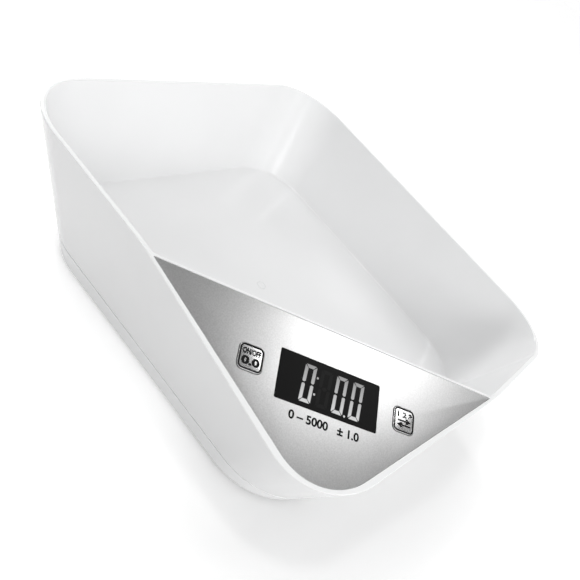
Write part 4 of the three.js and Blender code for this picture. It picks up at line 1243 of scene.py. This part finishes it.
foot_profile = FOOT_DISH + [
    (FOOT_RADIUS - inset, rise) for inset, rise in edge_arc(FOOT_EDGE_ROUND, FOOT_EDGE_STEPS)]
foot_profile.append((FOOT_RADIUS, FOOT_HEIGHT))
for name, (x, y) in zip(("foot_front", "foot_right", "foot_rear", "foot_left"), CORNERS):
    foot = turned(f"{name}_pad", foot_profile, lambda px, py, z, x=x, y=y: Vector(
        (x * FOOT_PLACE + px, y * FOOT_PLACE + py, z)))
    settle(smooth(foot, FINE_EDGE), "base", "foot_rubber", name)

# Stage

FLOOR_HALF = 3.0
FLOOR_GREY = 0.79

# Painted light on the backdrop: a glow for camera, glossy and transmission rays that is weak in an oval
# beside the object, longer along X than along Y, and strong farther off, where it turns the backdrop white
# and hides the object's shadow. The real shadow shows only inside the oval.
DIM_GLOW_MIDDLE = (0.02, -0.1, 0)
DIM_GLOW_SHAPE = (0.6, 1.3, 1)
DIM_GLOW_NEAR = 0.04
DIM_GLOW_FAR = 0.14
DIM_GLOW_LIFT = 0.09
FULL_GLOW_LIFT = 0.44

floor_mesh = bpy.data.meshes.new("floor")
floor_mesh.from_pydata([(x * FLOOR_HALF, y * FLOOR_HALF, 0) for x, y in CORNERS], [], [(0, 1, 2, 3)])
floor = bpy.data.objects.new("floor", floor_mesh)
bpy.context.scene.collection.objects.link(floor)
stage_nodes = Nodes("stage_white")
stage_nodes.set(Base_Color=(FLOOR_GREY, FLOOR_GREY, FLOOR_GREY, 1), Roughness=0.9)
glow = stage_nodes.add("Emission")
path = stage_nodes.add("LightPath")
seen = stage_nodes.add("Math", operation="MAXIMUM")
seen_through = stage_nodes.add("Math", operation="MAXIMUM")
lift = stage_nodes.add("Math", operation="MULTIPLY")
stage_place = stage_nodes.add("TexCoord")
away = stage_nodes.add("VectorMath", operation="SUBTRACT")
away.inputs[1].default_value = DIM_GLOW_MIDDLE
shaped = stage_nodes.add("VectorMath", operation="MULTIPLY")
shaped.inputs[1].default_value = DIM_GLOW_SHAPE
reach = stage_nodes.add("VectorMath", operation="LENGTH")
# Painted glow: weak near the middle of the oval and strong farther off
white = stage_nodes.add("MapRange", interpolation_type="SMOOTHSTEP", From_Min=DIM_GLOW_NEAR,
                        From_Max=DIM_GLOW_FAR, To_Min=DIM_GLOW_LIFT, To_Max=FULL_GLOW_LIFT)
total = stage_nodes.add("AddShader")
for source, output, target, socket in (
    (stage_place, "Object", away, 0),
    (away, "Vector", shaped, 0),
    (shaped, "Vector", reach, 0),
    (reach, "Value", white, "Value"),
    (white, "Result", lift, 1),
    (path, "Is Camera Ray", seen, 0),
    (path, "Is Glossy Ray", seen, 1),
    (seen, 0, seen_through, 0),
    (path, "Is Transmission Ray", seen_through, 1),
    (seen_through, 0, lift, 0),
    (lift, 0, glow, "Strength"),
    (stage_nodes.shader, 0, total, 0),
    (glow, 0, total, 1),
    (total, 0, stage_nodes.tree.nodes["Material Output"], "Surface"),
):
    stage_nodes.join(source, output, target, socket)
floor_mesh.materials.append(stage_nodes.material)

world = bpy.data.worlds.new("studio")
bpy.context.scene.world = world
world.use_nodes = True
sky = world.node_tree
background = sky.nodes["Background"]
background.inputs["Color"].default_value = (1, 1, 1, 1)
world_path = sky.nodes.new("ShaderNodeLightPath")
strength = sky.nodes.new("ShaderNodeMapRange")
strength.inputs["To Max"].default_value = 1.0
sky.links.new(world_path.outputs["Is Camera Ray"], strength.inputs["Value"])
sky.links.new(strength.outputs["Result"], background.inputs["Strength"])

# Seen by the object, the studio is light all round, but for two dark panels: one high behind the
# highlight on the deck, and a fainter one low at the rear left
SKY_LIGHT = 0.96
direction = sky.nodes.new("ShaderNodeTexCoord")


def dark_panel(azimuth, elevation, inner, outer, share):
    """Leaves a share of the light around a direction, with a soft edge between two radii in degrees."""
    toward = sky.nodes.new("ShaderNodeVectorMath")
    toward.operation = "DOT_PRODUCT"
    toward.inputs[1].default_value = unit_toward(azimuth, elevation)
    panel = sky.nodes.new("ShaderNodeMapRange")
    panel.interpolation_type = "SMOOTHSTEP"
    panel.inputs["From Min"].default_value = math.cos(math.radians(outer))
    panel.inputs["From Max"].default_value = math.cos(math.radians(inner))
    panel.inputs["To Min"].default_value = 1.0
    panel.inputs["To Max"].default_value = share
    sky.links.new(direction.outputs["Generated"], toward.inputs[0])
    sky.links.new(toward.outputs["Value"], panel.inputs["Value"])
    return panel


light_left = sky.nodes.new("ShaderNodeMath")
light_left.operation = "MULTIPLY"
panels = (
    dark_panel(azimuth=-24, elevation=62, inner=20, outer=38, share=0.21),
    dark_panel(azimuth=145, elevation=8, inner=25, outer=72, share=0.35),
)
for socket, panel in enumerate(panels):
    sky.links.new(panel.outputs["Result"], light_left.inputs[socket])
sky_strength = sky.nodes.new("ShaderNodeMath")
sky_strength.operation = "MULTIPLY"
sky_strength.inputs[1].default_value = SKY_LIGHT
sky.links.new(light_left.outputs[0], sky_strength.inputs[0])
sky.links.new(sky_strength.outputs[0], strength.inputs["To Min"])

DECK_MIDDLE = (-0.06, -0.06, 0.06)
BOWL_MIDDLE = (0, 0, 0.04)
LAMP_DISTANCE = 1.5
HIGHLIGHT_DISTANCE = 1.3


def area_lamp(name, azimuth, elevation, size, power, target=BOWL_MIDDLE, away=LAMP_DISTANCE, roll=0):
    """A lamp that shines on a target from a direction in degrees and a distance in metres."""
    data = bpy.data.lights.new(name, "AREA")
    data.shape = "RECTANGLE"
    data.size = size[0]
    data.size_y = size[1]
    data.energy = power
    lamp = bpy.data.objects.new(name, data)
    lamp.location = Vector(target) + away * unit_toward(azimuth, elevation)
    aim = Vector(target) - lamp.location
    turn = aim.to_track_quat("-Z", "Y").to_matrix() @ Matrix.Rotation(math.radians(roll), 3, "Z")
    lamp.rotation_euler = turn.to_euler()
    bpy.context.scene.collection.objects.link(lamp)
    return lamp


area_lamp("deck_highlight", -24, 58, (0.33, 0.3), 1.37, DECK_MIDDLE, HIGHLIGHT_DISTANCE)
area_lamp("side_soft", 245, 22, (0.5, 0.5), 6.2).visible_glossy = False
area_lamp("corner_streak_right", 241, 22, (0.3, 0.5), 0.95).visible_diffuse = False
area_lamp("corner_streak_left", 272, 22, (0.3, 0.5), 0.5).visible_diffuse = False
area_lamp("top_soft", 130, 75, (0.2, 0.2), 2.6)
area_lamp("back_soft", 64, 25, (0.56, 0.2), 6.5, roll=-40)

bpy.context.scene.view_settings.view_transform = "Standard"
